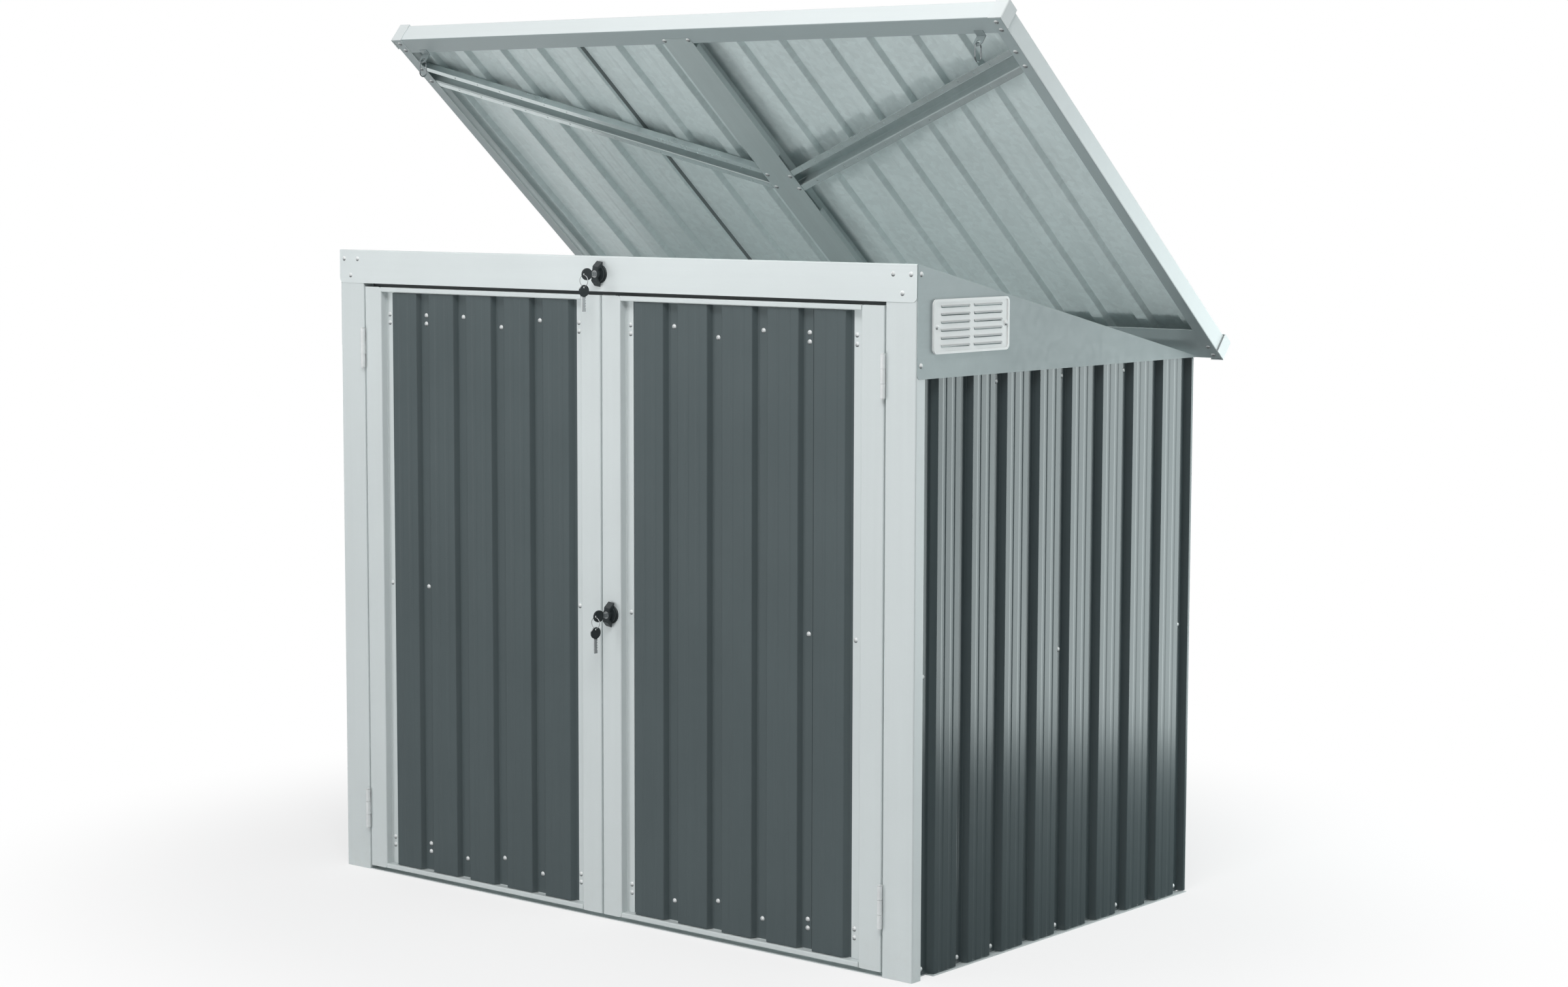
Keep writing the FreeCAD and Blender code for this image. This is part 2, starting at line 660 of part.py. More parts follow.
def rounded_plate(length, height, radius, thick):
    """Plate in the YZ plane with rounded corners, centred on the origin, from X 0 to thick."""
    core = block((0, thick), (-length / 2 + radius, length / 2 - radius), (-height / 2, height / 2))
    side = block((0, thick), (-length / 2, length / 2), (-height / 2 + radius, height / 2 - radius))
    shapes = [core, side]
    for y in (-1, 1):
        for z in (-1, 1):
            centre = (0, y * (length / 2 - radius), z * (height / 2 - radius))
            shapes.append(rod(centre, X_AXIS, radius, thick))
    return joined(shapes)


def louvre_hood(y, z):
    """Small sloping hood over one slot."""
    low = z + LOUVRE_SLOT / 2
    outline = Part.makePolygon([
        Vector(1.0, y - LOUVRE_LENGTH / 2, low + 3.4),
        Vector(1.0, y - LOUVRE_LENGTH / 2, low),
        Vector(VENT_THICK + 0.6, y - LOUVRE_LENGTH / 2, low - 2.4),
        Vector(VENT_THICK + 0.6, y - LOUVRE_LENGTH / 2, low - 1.2),
        Vector(1.0, y - LOUVRE_LENGTH / 2, low + 3.4),
    ])
    return Part.Face(outline).extrude(Vector(0, LOUVRE_LENGTH, 0))


def vent():
    """Right vent: a rimmed plate with two columns of louvres."""
    outer = rounded_plate(VENT_LENGTH, VENT_HEIGHT, VENT_CORNER, VENT_THICK)
    pocket = rounded_plate(VENT_LENGTH - 2 * VENT_RIM, VENT_HEIGHT - 2 * VENT_RIM,
                           VENT_CORNER - 4.0, VENT_THICK)
    pocket.translate(Vector(VENT_THICK - 1.6, 0, 0))
    bosses = [rod((0, side * VENT_SCREW, 0), X_AXIS, 6.4, VENT_THICK - 1.0) for side in (-1, 1)]
    slots = []
    hoods = []
    for row in range(6):
        z = (row - 2.5) * LOUVRE_PITCH
        for side in (-1, 1):
            y = side * LOUVRE_OFFSET
            slots.append(block((-1, 9), (y - LOUVRE_LENGTH / 2, y + LOUVRE_LENGTH / 2),
                               (z - LOUVRE_SLOT / 2, z + LOUVRE_SLOT / 2)))
            hoods.append(louvre_hood(y, z))
    plate = outer.cut(pocket).cut(slots)
    whole = joined([plate] + bosses + hoods)
    whole.translate(Vector(HALF, VENT_Y, VENT_Z))
    return drilled(whole, holes(vent_screws(), (-1, 0, 0), reach=12.0))


def front_sill():
    """Low flat strip between the posts, under the doors, for the bin wheels to roll over."""
    half = POST_IN - 1.5
    points = [(FACE_Y + 2.0, 0.0), (FACE_Y + 62.0, 0.0), (FACE_Y + 62.0, 6.0)]
    return along_x(bent_strip(points, FRAME_GAUGE, BEND, 2 * half), -half)


# Hinges

def knuckle(centre, axis, low, high, radius, bore):
    """Tube round the hinge axis between two places along it. The centre is any point on the axis."""
    start = Vector(*centre) + axis * low
    tube = Part.makeCylinder(radius, high - low, start, axis)
    return tube.cut(Part.makeCylinder(bore, high - low + 2, start - axis, axis))


def door_hinge(pin, sign, z_middle):
    """Frame leaf, door leaf and pin of one door hinge. Sign is -1 for the left door, +1 for the right."""
    half = DOOR_HINGE_LENGTH / 2
    third = DOOR_HINGE_LENGTH / 6
    bore = DOOR_PIN_R + PIN_CLEAR
    gap = 0.5
    centre = (pin[0], pin[1], z_middle)
    frame_x = sorted((sign * POST_IN, sign * (POST_IN - FRAME_GAUGE)))
    edge = abs(LEFT_DOOR[0]) if sign < 0 else RIGHT_DOOR[1]
    door_x = sorted((sign * edge, sign * (edge + FRAME_GAUGE)))
    frame_spans = [(-half, -third - gap), (third + gap, half)]
    door_spans = [(-third, third)]
    leaves = []
    for x_pair, spans in ((frame_x, frame_spans), (door_x, door_spans)):
        plate = block(x_pair, (FACE_Y + 2.0, DOOR_BACK_Y - 3.0), (z_middle - half, z_middle + half))
        shapes = [plate]
        for low, high in spans:
            shapes.append(block(x_pair, (pin[1], FACE_Y + 3.0), (z_middle + low, z_middle + high)))
            shapes.append(rod((centre[0], centre[1], z_middle + low), Z_AXIS, DOOR_KNUCKLE_R, high - low))
        leaf = joined(shapes)
        leaf = leaf.cut(rod((centre[0], centre[1], z_middle - half - 1), Z_AXIS, bore,
                            DOOR_HINGE_LENGTH + 2))
        leaves.append(leaf)
    pin_body = rod((centre[0], centre[1], z_middle - half - 0.6), Z_AXIS, DOOR_PIN_R,
                   DOOR_HINGE_LENGTH + 1.2)
    caps = [rod((centre[0], centre[1], z_middle + s * (half + 0.6) - (1.4 if s < 0 else 0)), Z_AXIS,
                DOOR_PIN_R + 1.2, 1.4) for s in (-1, 1)]
    return leaves[0], leaves[1], joined([pin_body] + caps)


def door_hinges(pin, sign):
    frame_leaves = []
    door_leaves = []
    pins = []
    for z in DOOR_HINGE_Z:
        frame_leaf, door_leaf, pin_solid = door_hinge(pin, sign, z)
        frame_leaves.append(frame_leaf)
        door_leaves.append(door_leaf)
        pins.append(pin_solid)
    return frame_leaves, door_leaves, pins


def wall_leaf_screws():
    places = []
    for x in LID_HINGE_X:
        for dx in (-34.0, 34.0):
            places.append((x + dx, TOP_RAIL_Y + LID_LEAF, LID_PIN[1] - WALL_LEAF_SCREW))
    return places


def lid_leaf_screws():
    """Screws under the lid's rear flange, on the flat lid."""
    return [(x + dx, -62.0, -0.8) for x in LID_HINGE_X for dx in (-34.0, 34.0)]


def wall_leaf(x):
    """Leaf on the rear wall, with a knuckle at each end of the hinge."""
    half = LID_HINGE_LENGTH / 2
    y, z = LID_PIN
    plate = block((x - half, x + half), (TOP_RAIL_Y, TOP_RAIL_Y + LID_LEAF), (z - 54, z - 1))
    shapes = [plate]
    for low, high in ((-half, -half / 2 - 0.5), (half / 2 + 0.5, half)):
        shapes.append(block((x + low, x + high), (TOP_RAIL_Y, y), (z - 4.0, z - 1.0)))
        shapes.append(rod((x + low, y, z), X_AXIS, LID_KNUCKLE_R, high - low))
    leaf = joined(shapes)
    leaf = leaf.cut(rod((x - half - 1, y, z), X_AXIS, LID_PIN_R + PIN_CLEAR, LID_HINGE_LENGTH + 2))
    return drilled(leaf, holes([p for p in wall_leaf_screws() if abs(p[0] - x) < half], (0, -1, 0)))


def lid_hinge_pin(x):
    half = LID_HINGE_LENGTH / 2 + 1.0
    y, z = LID_PIN
    body = rod((x - half, y, z), X_AXIS, LID_PIN_R, 2 * half)
    caps = [rod((x - half - 2.0, y, z), X_AXIS, LID_PIN_R + 1.5, 2.0),
            rod((x + half, y, z), X_AXIS, LID_PIN_R + 1.5, 2.0)]
    return joined([body] + caps)


# Doors

def stile(x_outer, width, flange, sign):
    """Door stile: a flat front face, a return at its outer edge, a step and a flange for the panel.
    Sign +1 has its flange towards +X."""
    points = [
        (RETURN_LIP, DOOR_BACK_Y),
        (0.0, DOOR_BACK_Y),
        (0.0, FACE_Y),
        (width, FACE_Y),
        (width, DOOR_FLANGE_Y),
        (width + flange, DOOR_FLANGE_Y),
    ]
    shape = along_z(bent_strip(points, FRAME_GAUGE, BEND, DOOR_TOP - DOOR_BOTTOM), DOOR_BOTTOM)
    notch = 7.0
    for z in (DOOR_TOP, DOOR_BOTTOM):
        way = 1 if z == DOOR_BOTTOM else -1
        corner = block((width - notch, width + 0.01), (FACE_Y - 1, FACE_Y + FRAME_GAUGE + 0.01),
                       sorted((z, z + way * notch)))
        keep = rod((width - notch, FACE_Y - 2, z + way * notch), Y_AXIS, notch, 6)
        shape = shape.cut(corner.cut(keep))
        shape = shape.cut(block((width + 0.1, width + flange + 1), (FACE_Y + 3, DOOR_FLANGE_Y + 3),
                                sorted((z - way, z + way * (DOOR_LIP + 0.3)))))
    if sign < 0:
        shape = mirrored(shape)
    shape.translate(Vector(x_outer, 0, 0))
    return shape


def cross_rail(place, low, high):
    """Top, middle or bottom rail of a door, between its stiles."""
    if place == "top":
        points = [(DOOR_BACK_Y - 2.0, DOOR_TOP), (FACE_Y, DOOR_TOP), (FACE_Y, DOOR_TOP - DOOR_LIP),
                  (DOOR_RAIL_Y, DOOR_TOP - DOOR_LIP), (DOOR_RAIL_Y, DOOR_TOP - DOOR_LIP - CROSS_FLANGE)]
    elif place == "bottom":
        lip = DOOR_BOTTOM + DOOR_LIP
        points = [(DOOR_RAIL_Y, lip + CROSS_FLANGE), (DOOR_RAIL_Y, lip), (FACE_Y, lip),
                  (FACE_Y, DOOR_BOTTOM), (DOOR_BACK_Y - 2.0, DOOR_BOTTOM)]
    else:
        points = [(DOOR_RAIL_Y, DOOR_ROW_MID + 27), (DOOR_RAIL_Y, DOOR_ROW_MID - 27),
                  (DOOR_RAIL_Y + 16, DOOR_ROW_MID - 27)]
    return along_x(bent_strip(points, FRAME_GAUGE, 1.0, high - low), low)


def door_troughs(ends):
    """Trough centres, the first and last on the stile flanges."""
    first, last = ends
    return [first + (last - first) * i / DOOR_RIBS for i in range(DOOR_RIBS + 1)]


def door_screw_places(troughs, double):
    """Screws in the two end flanges and in the panel troughs. The doubled trough is the sheets' lap."""
    places = []
    for i, x in enumerate(troughs):
        at_end = i in (0, len(troughs) - 1)
        y = DOOR_FLANGE_Y if at_end else DOOR_TROUGH_Y
        if i == double:
            y -= SHEET_GAUGE
        if at_end or i == double:
            rows = DOOR_ROWS_TOP + DOOR_ROWS_LOW + (DOOR_ROW_MID,)
        elif (i - double) % 2:
            rows = (DOOR_ROWS_TOP[0], DOOR_ROWS_LOW[1])
        else:
            rows = (DOOR_ROWS_TOP[1], DOOR_ROWS_LOW[0])
        places += [(x, y, z) for z in rows]
    return places


def door_panels(troughs, lap):
    """Two sheets of one door. They lap in the trough numbered lap, the left one in front."""
    gap = 1.2
    height = DOOR_TOP - DOOR_BOTTOM - 2 * (DOOR_LIP + gap)
    edge = TROUGH_HALF + 0.4
    left = ribbed_sheet(troughs[0] - edge, troughs[:lap + 1], troughs[lap] + LAP_HALF, height,
                        lift_end=SHEET_GAUGE)
    right = ribbed_sheet(troughs[lap] - LAP_HALF, troughs[lap:], troughs[-1] + edge, height)
    for sheet in (left, right):
        sheet.translate(Vector(0, DOOR_TROUGH_Y, DOOR_BOTTOM + DOOR_LIP + gap))
    return [left, right]


def door(door_span, stiles, flanges, trough_ends, double, lock_x):
    """All sheet parts of one door, drilled for its screws."""
    troughs = door_troughs(trough_ends)
    places = door_screw_places(troughs, double)
    tools = holes(places, (0, 1, 0), reach=6.0, back=3.0)
    left = stile(door_span[0], stiles[0], flanges[0], 1)
    right = stile(door_span[1], stiles[1], flanges[1], -1)
    left = drilled(left, tools)
    right = drilled(right, tools)
    if lock_x is not None:
        left = left.cut(rod((lock_x, FACE_Y - 2, DOOR_LOCK_Z), Y_AXIS, LOCK_BARREL_R + 0.2, 8))
    low = door_span[0] + stiles[0] + 0.3
    high = door_span[1] - stiles[1] - 0.3
    rails = [drilled(cross_rail(p, low, high), tools) for p in ("top", "middle", "bottom")]
    panels = [drilled(sheet, tools) for sheet in door_panels(troughs, double)]
    screws = [screw(p, (0, 1, 0)) for p in places]
    return left, right, rails, panels, screws


# Lid, drawn flat

def brace_middle(x):
    """Depth of a brace's middle line on the flat lid, at a distance x from the lid's middle."""
    slope = (BRACE_OUTER[1] - BRACE_INNER[1]) / (BRACE_OUTER[0] - BRACE_INNER[0])
    return BRACE_INNER[1] + (x - BRACE_INNER[0]) * slope


def lid_screw_places():
    places = []
    for side in (-1, 1):
        for y in (-1001.0, -980.0):
            places.append((side * BRACE_OUTER[0], y, 0.0))
        for x in (side * BRACE_OUTER[0], STRUT_X + side * BRACE_INNER[0]):
            y = brace_middle(abs(x))
            places += [(x, y - BRACE_SCREW, 0.0), (x, y + BRACE_SCREW, 0.0)]
        strut_x = STRUT_X + side * STRUT_SCREW
        places += [(strut_x, -982.0, 0.0), (strut_x, -40.0, 0.0)]
        places += [(side * BRACE_OUTER[0], -40.0, 0.0), (side * BRACE_OUTER[0], -14.0, 0.0)]
    return places + lid_leaf_screws()


def end_notches(y):
    """Cutters at both ends of the lid's front or rear rail, where the side rails' webs pass."""
    reach = LID_WIDTH / 2 + 1.0
    edge = LID_WIDTH / 2 - 2 * FRAME_GAUGE - 0.4 - BEND
    return [block((edge, reach), y, (-1, LID_RAIL_HEIGHT + 1)),
            block((-reach, -edge), y, (-1, LID_RAIL_HEIGHT + 1))]


def lid_rail(place):
    """Edge channel of the lid: outer web, bottom flange and top flange."""
    t = FRAME_GAUGE
    half = LID_WIDTH / 2
    top = LID_RAIL_HEIGHT
    if place == "front":
        y = -LID_DEPTH
        points = [(y + LID_TOP_FLANGE, top), (y, top), (y, t), (y + LID_FRONT_FLANGE, t)]
        rail = along_x(bent_strip(points, t, BEND, LID_WIDTH), -half).cut(end_notches((y + t + 0.1, y + 60)))
    elif place == "rear":
        points = [(-LID_REAR_FLANGE, t), (0.0, t), (0.0, top), (-LID_TOP_FLANGE, top)]
        rail = along_x(bent_strip(points, t, BEND, LID_WIDTH), -half).cut(end_notches((-120, -t - 0.1)))
    else:
        length = LID_DEPTH - 2 * LID_SIDE_END
        inner = half
        points = [(inner - LID_SIDE_FLANGE, 0.0), (inner - t - 0.2, 0.0), (inner - t - 0.2, top - t - 0.2),
                  (inner - LID_TOP_FLANGE, top - t - 0.2)]
        flat = bent_strip(points, t, BEND, length)
        flat.Placement = Placement(Vector(0, -LID_SIDE_END, 0), Rotation(X_AXIS, 90))
        rail = flat
    return rail


def brace(end_in):
    """Right-hand brace: a hat channel, open below, from the side rail to end_in on the middle strut."""
    dx = BRACE_OUTER[0] - BRACE_INNER[0]
    dy = BRACE_OUTER[1] - BRACE_INNER[1]
    length = math.hypot(dx, dy)
    t = FRAME_GAUGE
    crown = LID_SHEET_LEVEL - 0.2
    points = [(-BRACE_HALF, t), (-BRACE_GROOVE, t), (-BRACE_GROOVE, crown - t), (BRACE_GROOVE, crown - t),
              (BRACE_GROOVE, t), (BRACE_HALF, t)]
    over = 60.0
    hat = bent_strip(points, t, 1.4, length + 2 * over)
    hat.Placement = Placement(Vector(0, over, 0), Rotation(X_AXIS, 90))
    tools = []
    count = int(length // 53.5)
    for i in range(1, count):
        for w in (-21.0, 21.0):
            tools.append(rod((w, -i * 53.5, -1), Z_AXIS, 1.6, 5))
    hat = hat.cut(tools)
    turn = math.degrees(math.atan2(dy, dx)) + 90
    hat.Placement = Placement(Vector(BRACE_INNER[0], BRACE_INNER[1], 0),
                              Rotation(Z_AXIS, turn)).multiply(hat.Placement)
    keep = block((end_in, BRACE_END_OUT), (-LID_DEPTH, 0), (-1, 60))
    return hat.common(keep)


def strut():
    """Middle strut: a flat web with an upturned lip on each long edge where nothing crosses it."""
    half = STRUT_WIDTH / 2
    web = block((-half, half), (STRUT_FRONT, STRUT_REAR), (0, FRAME_GAUGE))
    corners = [e for e in web.Edges if abs(e.Length - FRAME_GAUGE) < 1e-6]
    shapes = [web.makeChamfer(STRUT_CHAMFER, corners)]
    for side in (-1, 1):
        x = sorted((side * half, side * (half - FRAME_GAUGE)))
        for span in ((-960.0, -630.0), (-455.0, -100.0)):
            shapes.append(block(x, span, (0, STRUT_LIP)))
    whole = joined(shapes)
    whole.translate(Vector(STRUT_X, 0, 0))
    return whole


def lid_sheets():
    """Two ribbed roof sheets, ribs up. The left one lies on the right one in one trough."""
    left_troughs = [LID_LEFT_LAST - LID_PITCH * i for i in range(LID_LEFT_TROUGHS)][::-1]
    right_troughs = [LID_RIGHT_FIRST + LID_PITCH * i for i in range(LID_RIGHT_TROUGHS)]
    length = LID_DEPTH - 8.0
    left = ribbed_sheet(left_troughs[0] - TROUGH_HALF - 0.4, left_troughs, LID_LEFT_LAST + LAP_HALF, length,
                        lift_end=SHEET_GAUGE)
    right = ribbed_sheet(LID_RIGHT_FIRST - LAP_HALF, right_troughs, LID_WIDTH / 2 - 4.0, length,
                         ends_high=True)
    placed = []
    for sheet in (left, right):
        sheet.Placement = Placement(Vector(0, -LID_DEPTH + 4.0, LID_SHEET_LEVEL + SHEET_GAUGE),
                                    Rotation(X_AXIS, -90))
        placed.append(sheet)
    return placed


def corner_cap(sign_x, rear):
    """Moulded corner cap: wraps the outside of the corner and laps over its top."""
    half = LID_WIDTH / 2
    top = LID_RAIL_HEIGHT
    w = CAP_WALL
    outer = block((half - CAP_LEG, half + w), (-LID_DEPTH - w, -LID_DEPTH + CAP_LEG), (-0.6, top + w))
    edges = [e for e in outer.Edges if abs(e.Length - (top + w + 0.6)) < 1e-6
             and e.CenterOfMass.x > half and e.CenterOfMass.y < -LID_DEPTH]
    outer = outer.makeFillet(3.0, edges)
    inside = block((half - CAP_LEG - 1, half), (-LID_DEPTH, -LID_DEPTH + CAP_LEG + 1), (-2, top))
    cap = outer.cut(inside)
    if rear:
        cap = cap.mirror(Vector(0, -LID_DEPTH / 2, 0), Y_AXIS)
    if sign_x < 0:
        cap = mirrored(cap)
    return cap


def loop_tab(side):
    """Small lug under the inner edge of the front rail, with a hole for the wire loop."""
    plate = block((-10.0, 10.0), (-0.8, 0.8), (-LOOP_TAB_DROP + 10.0, 1.2))
    plate = joined([plate, rod((0, -0.8, -LOOP_TAB_DROP + 10.0), Y_AXIS, 10.0, 1.6)])
    foot = block((-10.0, 10.0), (-14.0, 0.8), (0.0, 1.2))
    tab = joined([plate, foot])
    tab = tab.cut(rod((0, -3, LOOP_HOLE_HEIGHT), Y_AXIS, LOOP_HOLE_R, 6))
    tab.translate(Vector(side * LOOP_X, LOOP_Y, 0))
    return tab


def loop_pivot(side):
    """Hole centre of a lug, in the room."""
    return to_room(Vector(side * LOOP_X, LOOP_Y, LOOP_HOLE_HEIGHT - LOOP_SAG))


def wire_loop(side):
    """Closed wire loop that hangs from its lug: two straight sides and two half rounds."""
    top = loop_pivot(side)
    low = LOOP_LENGTH - 2 * LOOP_HALF
    z_high = -LOOP_HALF
    z_low = z_high - low
    wire = Part.Wire([
        Part.Arc(Vector(0, -LOOP_HALF, z_high), Vector(0, 0, 0), Vector(0, LOOP_HALF, z_high)).toShape(),
        Part.makeLine(Vector(0, LOOP_HALF, z_high), Vector(0, LOOP_HALF, z_low)),
        Part.Arc(Vector(0, LOOP_HALF, z_low), Vector(0, 0, z_low - LOOP_HALF),
                 Vector(0, -LOOP_HALF, z_low)).toShape(),
        Part.makeLine(Vector(0, -LOOP_HALF, z_low), Vector(0, -LOOP_HALF, z_high)),
    ])
    section = Part.Wire([Part.makeCircle(LOOP_WIRE, Vector(0, LOOP_HALF, z_high), Z_AXIS)])
    shape = wire.makePipeShell([section], True, False)
    shape.translate(top)
    return shape


def lid_leaf(x):
    """Lid leaf of a hinge: an arm from the knuckle up to the rear flange, and a plate under it."""
    t = LID_LEAF
    half = LID_HINGE_LENGTH / 2
    pin_y, pin_n = lid_pin_flat()
    inner = half / 2 - 0.5
    plate = block((x - half, x + half), (-84.0, pin_y + t / 2), (-0.8, FRAME_GAUGE))
    arm = block((x - inner, x + inner), (pin_y - t / 2, pin_y + t / 2), (pin_n, -0.2))
    barrel = rod((x - inner, pin_y, pin_n), X_AXIS, LID_KNUCKLE_R, 2 * inner)
    leaf = joined([plate, arm, barrel])
    return leaf.cut(rod((x - half, pin_y, pin_n), X_AXIS, LID_PIN_R + PIN_CLEAR, 2 * half))


def lid_placement():
    return Placement(Vector(0, LID_REAR_EDGE[0], LID_REAR_EDGE[1]), Rotation(X_AXIS, -LID_OPEN_DEG))


def lid_pin_flat():
    """The hinge pin's place seen from the flat lid, as (Y, height)."""
    point = lid_placement().inverse().multVec(Vector(0, LID_PIN[0], LID_PIN[1]))
    return point.y, point.z


def to_room(point):
    return lid_placement().multVec(point)


def opened(shape):
    """Turns a piece of the flat lid to where the open lid stands."""
    shape.Placement = lid_placement().multiply(shape.Placement)
    return shape


def lid_nodes():
    places = lid_screw_places()
    tools = holes(places, (0, 0, 1), reach=5.0, back=3.0)
    nodes = {}
    right = lid_rail("side")
    nodes["lid_front_rail"] = [drilled(lid_rail("front"), tools)]
    nodes["lid_rear_rail"] = [drilled(lid_rail("rear"), tools)]
    nodes["lid_right_rail"] = [drilled(right, tools)]
    nodes["lid_left_rail"] = [drilled(mirrored(right), tools)]
    right_brace = brace(BRACE_END_IN + STRUT_X)
    left_brace = mirrored(brace(BRACE_END_IN - STRUT_X))
    nodes["lid_braces"] = [drilled(right_brace, tools), drilled(left_brace, tools)]
    nodes["lid_strut"] = [drilled(strut(), tools)]
    left_sheet, right_sheet = lid_sheets()
    nodes["lid_left_sheet"] = [left_sheet]
    nodes["lid_right_sheet"] = [right_sheet]
    nodes["lid_corner_caps"] = [corner_cap(s, rear) for s in (-1, 1) for rear in (False, True)]
    nodes["lid_loop_lugs"] = [loop_tab(s) for s in (-1, 1)]
    nodes["lid_hinge_leaves"] = [drilled(lid_leaf(x), tools) for x in LID_HINGE_X]
    nodes["lid_screws"] = [screw(p, (0, 0, 1)) for p in places]
    return {name: [opened(shape) for shape in shapes] for name, shapes in nodes.items()}


# Locks

def lock_base(x, y, z):
    """Round base plate and the threaded barrel behind it."""
    plate = rod((x, y - LOCK_BASE_H, z), Y_AXIS, LOCK_BASE_R, LOCK_BASE_H)
    front_edge = [e for e in plate.Edges if abs(e.CenterOfMass.y - (y - LOCK_BASE_H)) < 1e-6]
    plate = plate.makeChamfer(1.6, front_edge)
    barrel = rod((x, y - 0.5, z), Y_AXIS, LOCK_BARREL_R, LOCK_BARREL_LENGTH)
    nut_y = y + 3.0
    nut = rod((x, nut_y, z), Y_AXIS, LOCK_BARREL_R + 4.0, 4.0)
    return joined([plate, barrel, nut]).cut(rod((x, y - 6, z), Y_AXIS, 3.3, 60))


def lock_handle(x, y, z):
    """Winged handle with its spindle. The wing is longer at the base than at its face."""
    y_back = y - LOCK_BASE_H - 0.4
    y_face = y - WING_FACE
    disc = rod((x, y_back - 4.0, z), Y_AXIS, LOCK_BASE_R - 2.5, 4.0)
    outline = [
        Vector(x - WING_HALF, y_back, z - WING_BACK), Vector(x - WING_HALF, y_back, z + WING_BACK),
        Vector(x - WING_HALF, y_face, z + WING_FRONT), Vector(x - WING_HALF, y_face, z - WING_FRONT),
    ]
    wing = Part.Face(Part.makePolygon(outline + outline[:1])).extrude(Vector(2 * WING_HALF, 0, 0))
    wing = wing.makeFillet(1.2, [e for e in wing.Edges if abs(e.Length - 2 * WING_HALF) < 1e-6])
    boss = rod((x, y_face, z), Y_AXIS, CYLINDER_R + 2.4, y_back - y_face)
    spindle_end = CAM_Y + CAM_THICK + 2.0
    spindle = rod((x, y_back - 2.0, z), Y_AXIS, 3.2, spindle_end - y_back + 2.0)
    handle = joined([disc, wing, boss, spindle])
    socket = rod((x, y_face - 1.0, z), Y_AXIS, CYLINDER_R + 0.08, 9.0)
    handle = handle.cut(socket)
    handle.rotate(Vector(x, y, z), Y_AXIS, WING_LEAN)
    return handle


def lock_cam(x, y, z, direction):
    """Cam plate behind the lock, on the spindle's end. The direction is where it points at rest."""
    cam_y = CAM_Y
    start = Vector(x, cam_y, z)
    plate = Part.makeBox(CAM_LENGTH, CAM_THICK, CAM_WIDTH, Vector(0, 0, -CAM_WIDTH / 2))
    end = rod((0, 0, 0), Y_AXIS, CAM_WIDTH / 2, CAM_THICK)
    tip = rod((CAM_LENGTH, 0, 0), Y_AXIS, CAM_WIDTH / 2, CAM_THICK)
    cam = joined([plate, end, tip])
    angle = {"left": 180.0, "down": 90.0, "up": -90.0, "right": 0.0}[direction]
    cam.Placement = Placement(start, Rotation(Y_AXIS, angle + WING_LEAN))
    nut = rod((x, cam_y + CAM_THICK, z), Y_AXIS, 6.0, 3.0)
    bore = rod((x, cam_y - 5, z), Y_AXIS, 3.2, 30)
    return joined([cam, nut]).cut(bore)


def bow(y_middle, z_middle, x, hole_y, hole_z):
    """Flat oval key head in the YZ plane, with a hole for the ring."""
    oval = Part.Ellipse(Vector(0, 0, 0), KEY_BOW_LONG, KEY_BOW_HIGH).toShape()
    head = Part.Face(Part.Wire([oval])).extrude(Vector(0, 0, KEY_THICK))
    head.Placement = Placement(Vector(x - KEY_THICK / 2, y_middle, z_middle), Rotation(Vector(1, 1, 1), 120))
    return head.cut(rod((x - 6, hole_y, hole_z), X_AXIS, KEY_HOLE_R, 12))


def lock_key(x, y, z):
    """Lock cylinder with the key in it."""
    face = y - WING_FACE
    cylinder = rod((x, face - 0.6, z), Y_AXIS, CYLINDER_R, 8.4)
    blade = block((x - 1.1, x + 1.1), (y - KEY_BOW_OUT, face + 1.0), (z - 3.6, z + 3.6))
    head = bow(y - KEY_BOW_OUT, z, x, y - KEY_HOLE_OUT, z)
    return joined([cylinder, blade, head])


def key_ring(x, y, z):
    """Wire ring through the key in the lock, and the spare key that hangs from it."""
    hole_y = y - KEY_HOLE_OUT
    ring_top = z - KEY_HOLE_R + RING_WIRE + 0.1
    ring = Part.makeTorus(RING_R, RING_WIRE, Vector(x, hole_y, ring_top - RING_R), Y_AXIS)
    spare_hole_z = ring_top - 2 * RING_R - KEY_HOLE_R + RING_WIRE + 0.3
    oval = Part.Ellipse(Vector(0, 0, 0), KEY_BOW_LONG - 1.0, KEY_BOW_HIGH).toShape()
    head = Part.Face(Part.Wire([oval])).extrude(Vector(0, 0, KEY_THICK))
    head.Placement = Placement(Vector(x - KEY_THICK / 2, hole_y, spare_hole_z - 7.0),
                               Rotation(Vector(1, 1, 1), 120))
    head = head.cut(rod((x - 6, hole_y, spare_hole_z), X_AXIS, KEY_HOLE_R, 12))
    blade_top = spare_hole_z - 7.0 - KEY_BOW_HIGH + 1.5
    blade = block((x - 1.0, x + 1.0), (hole_y - 4.0, hole_y + 4.0), (blade_top - SPARE_BLADE, blade_top))
    teeth = []
    for i in range(4):
        z_tooth = blade_top - 8.0 - 5.0 * i
        teeth.append(block((x - 2, x + 2), (hole_y + 2.6, hole_y + 5.0), (z_tooth, z_tooth + 2.2)))
    return [ring, joined([head, blade.cut(teeth)])]


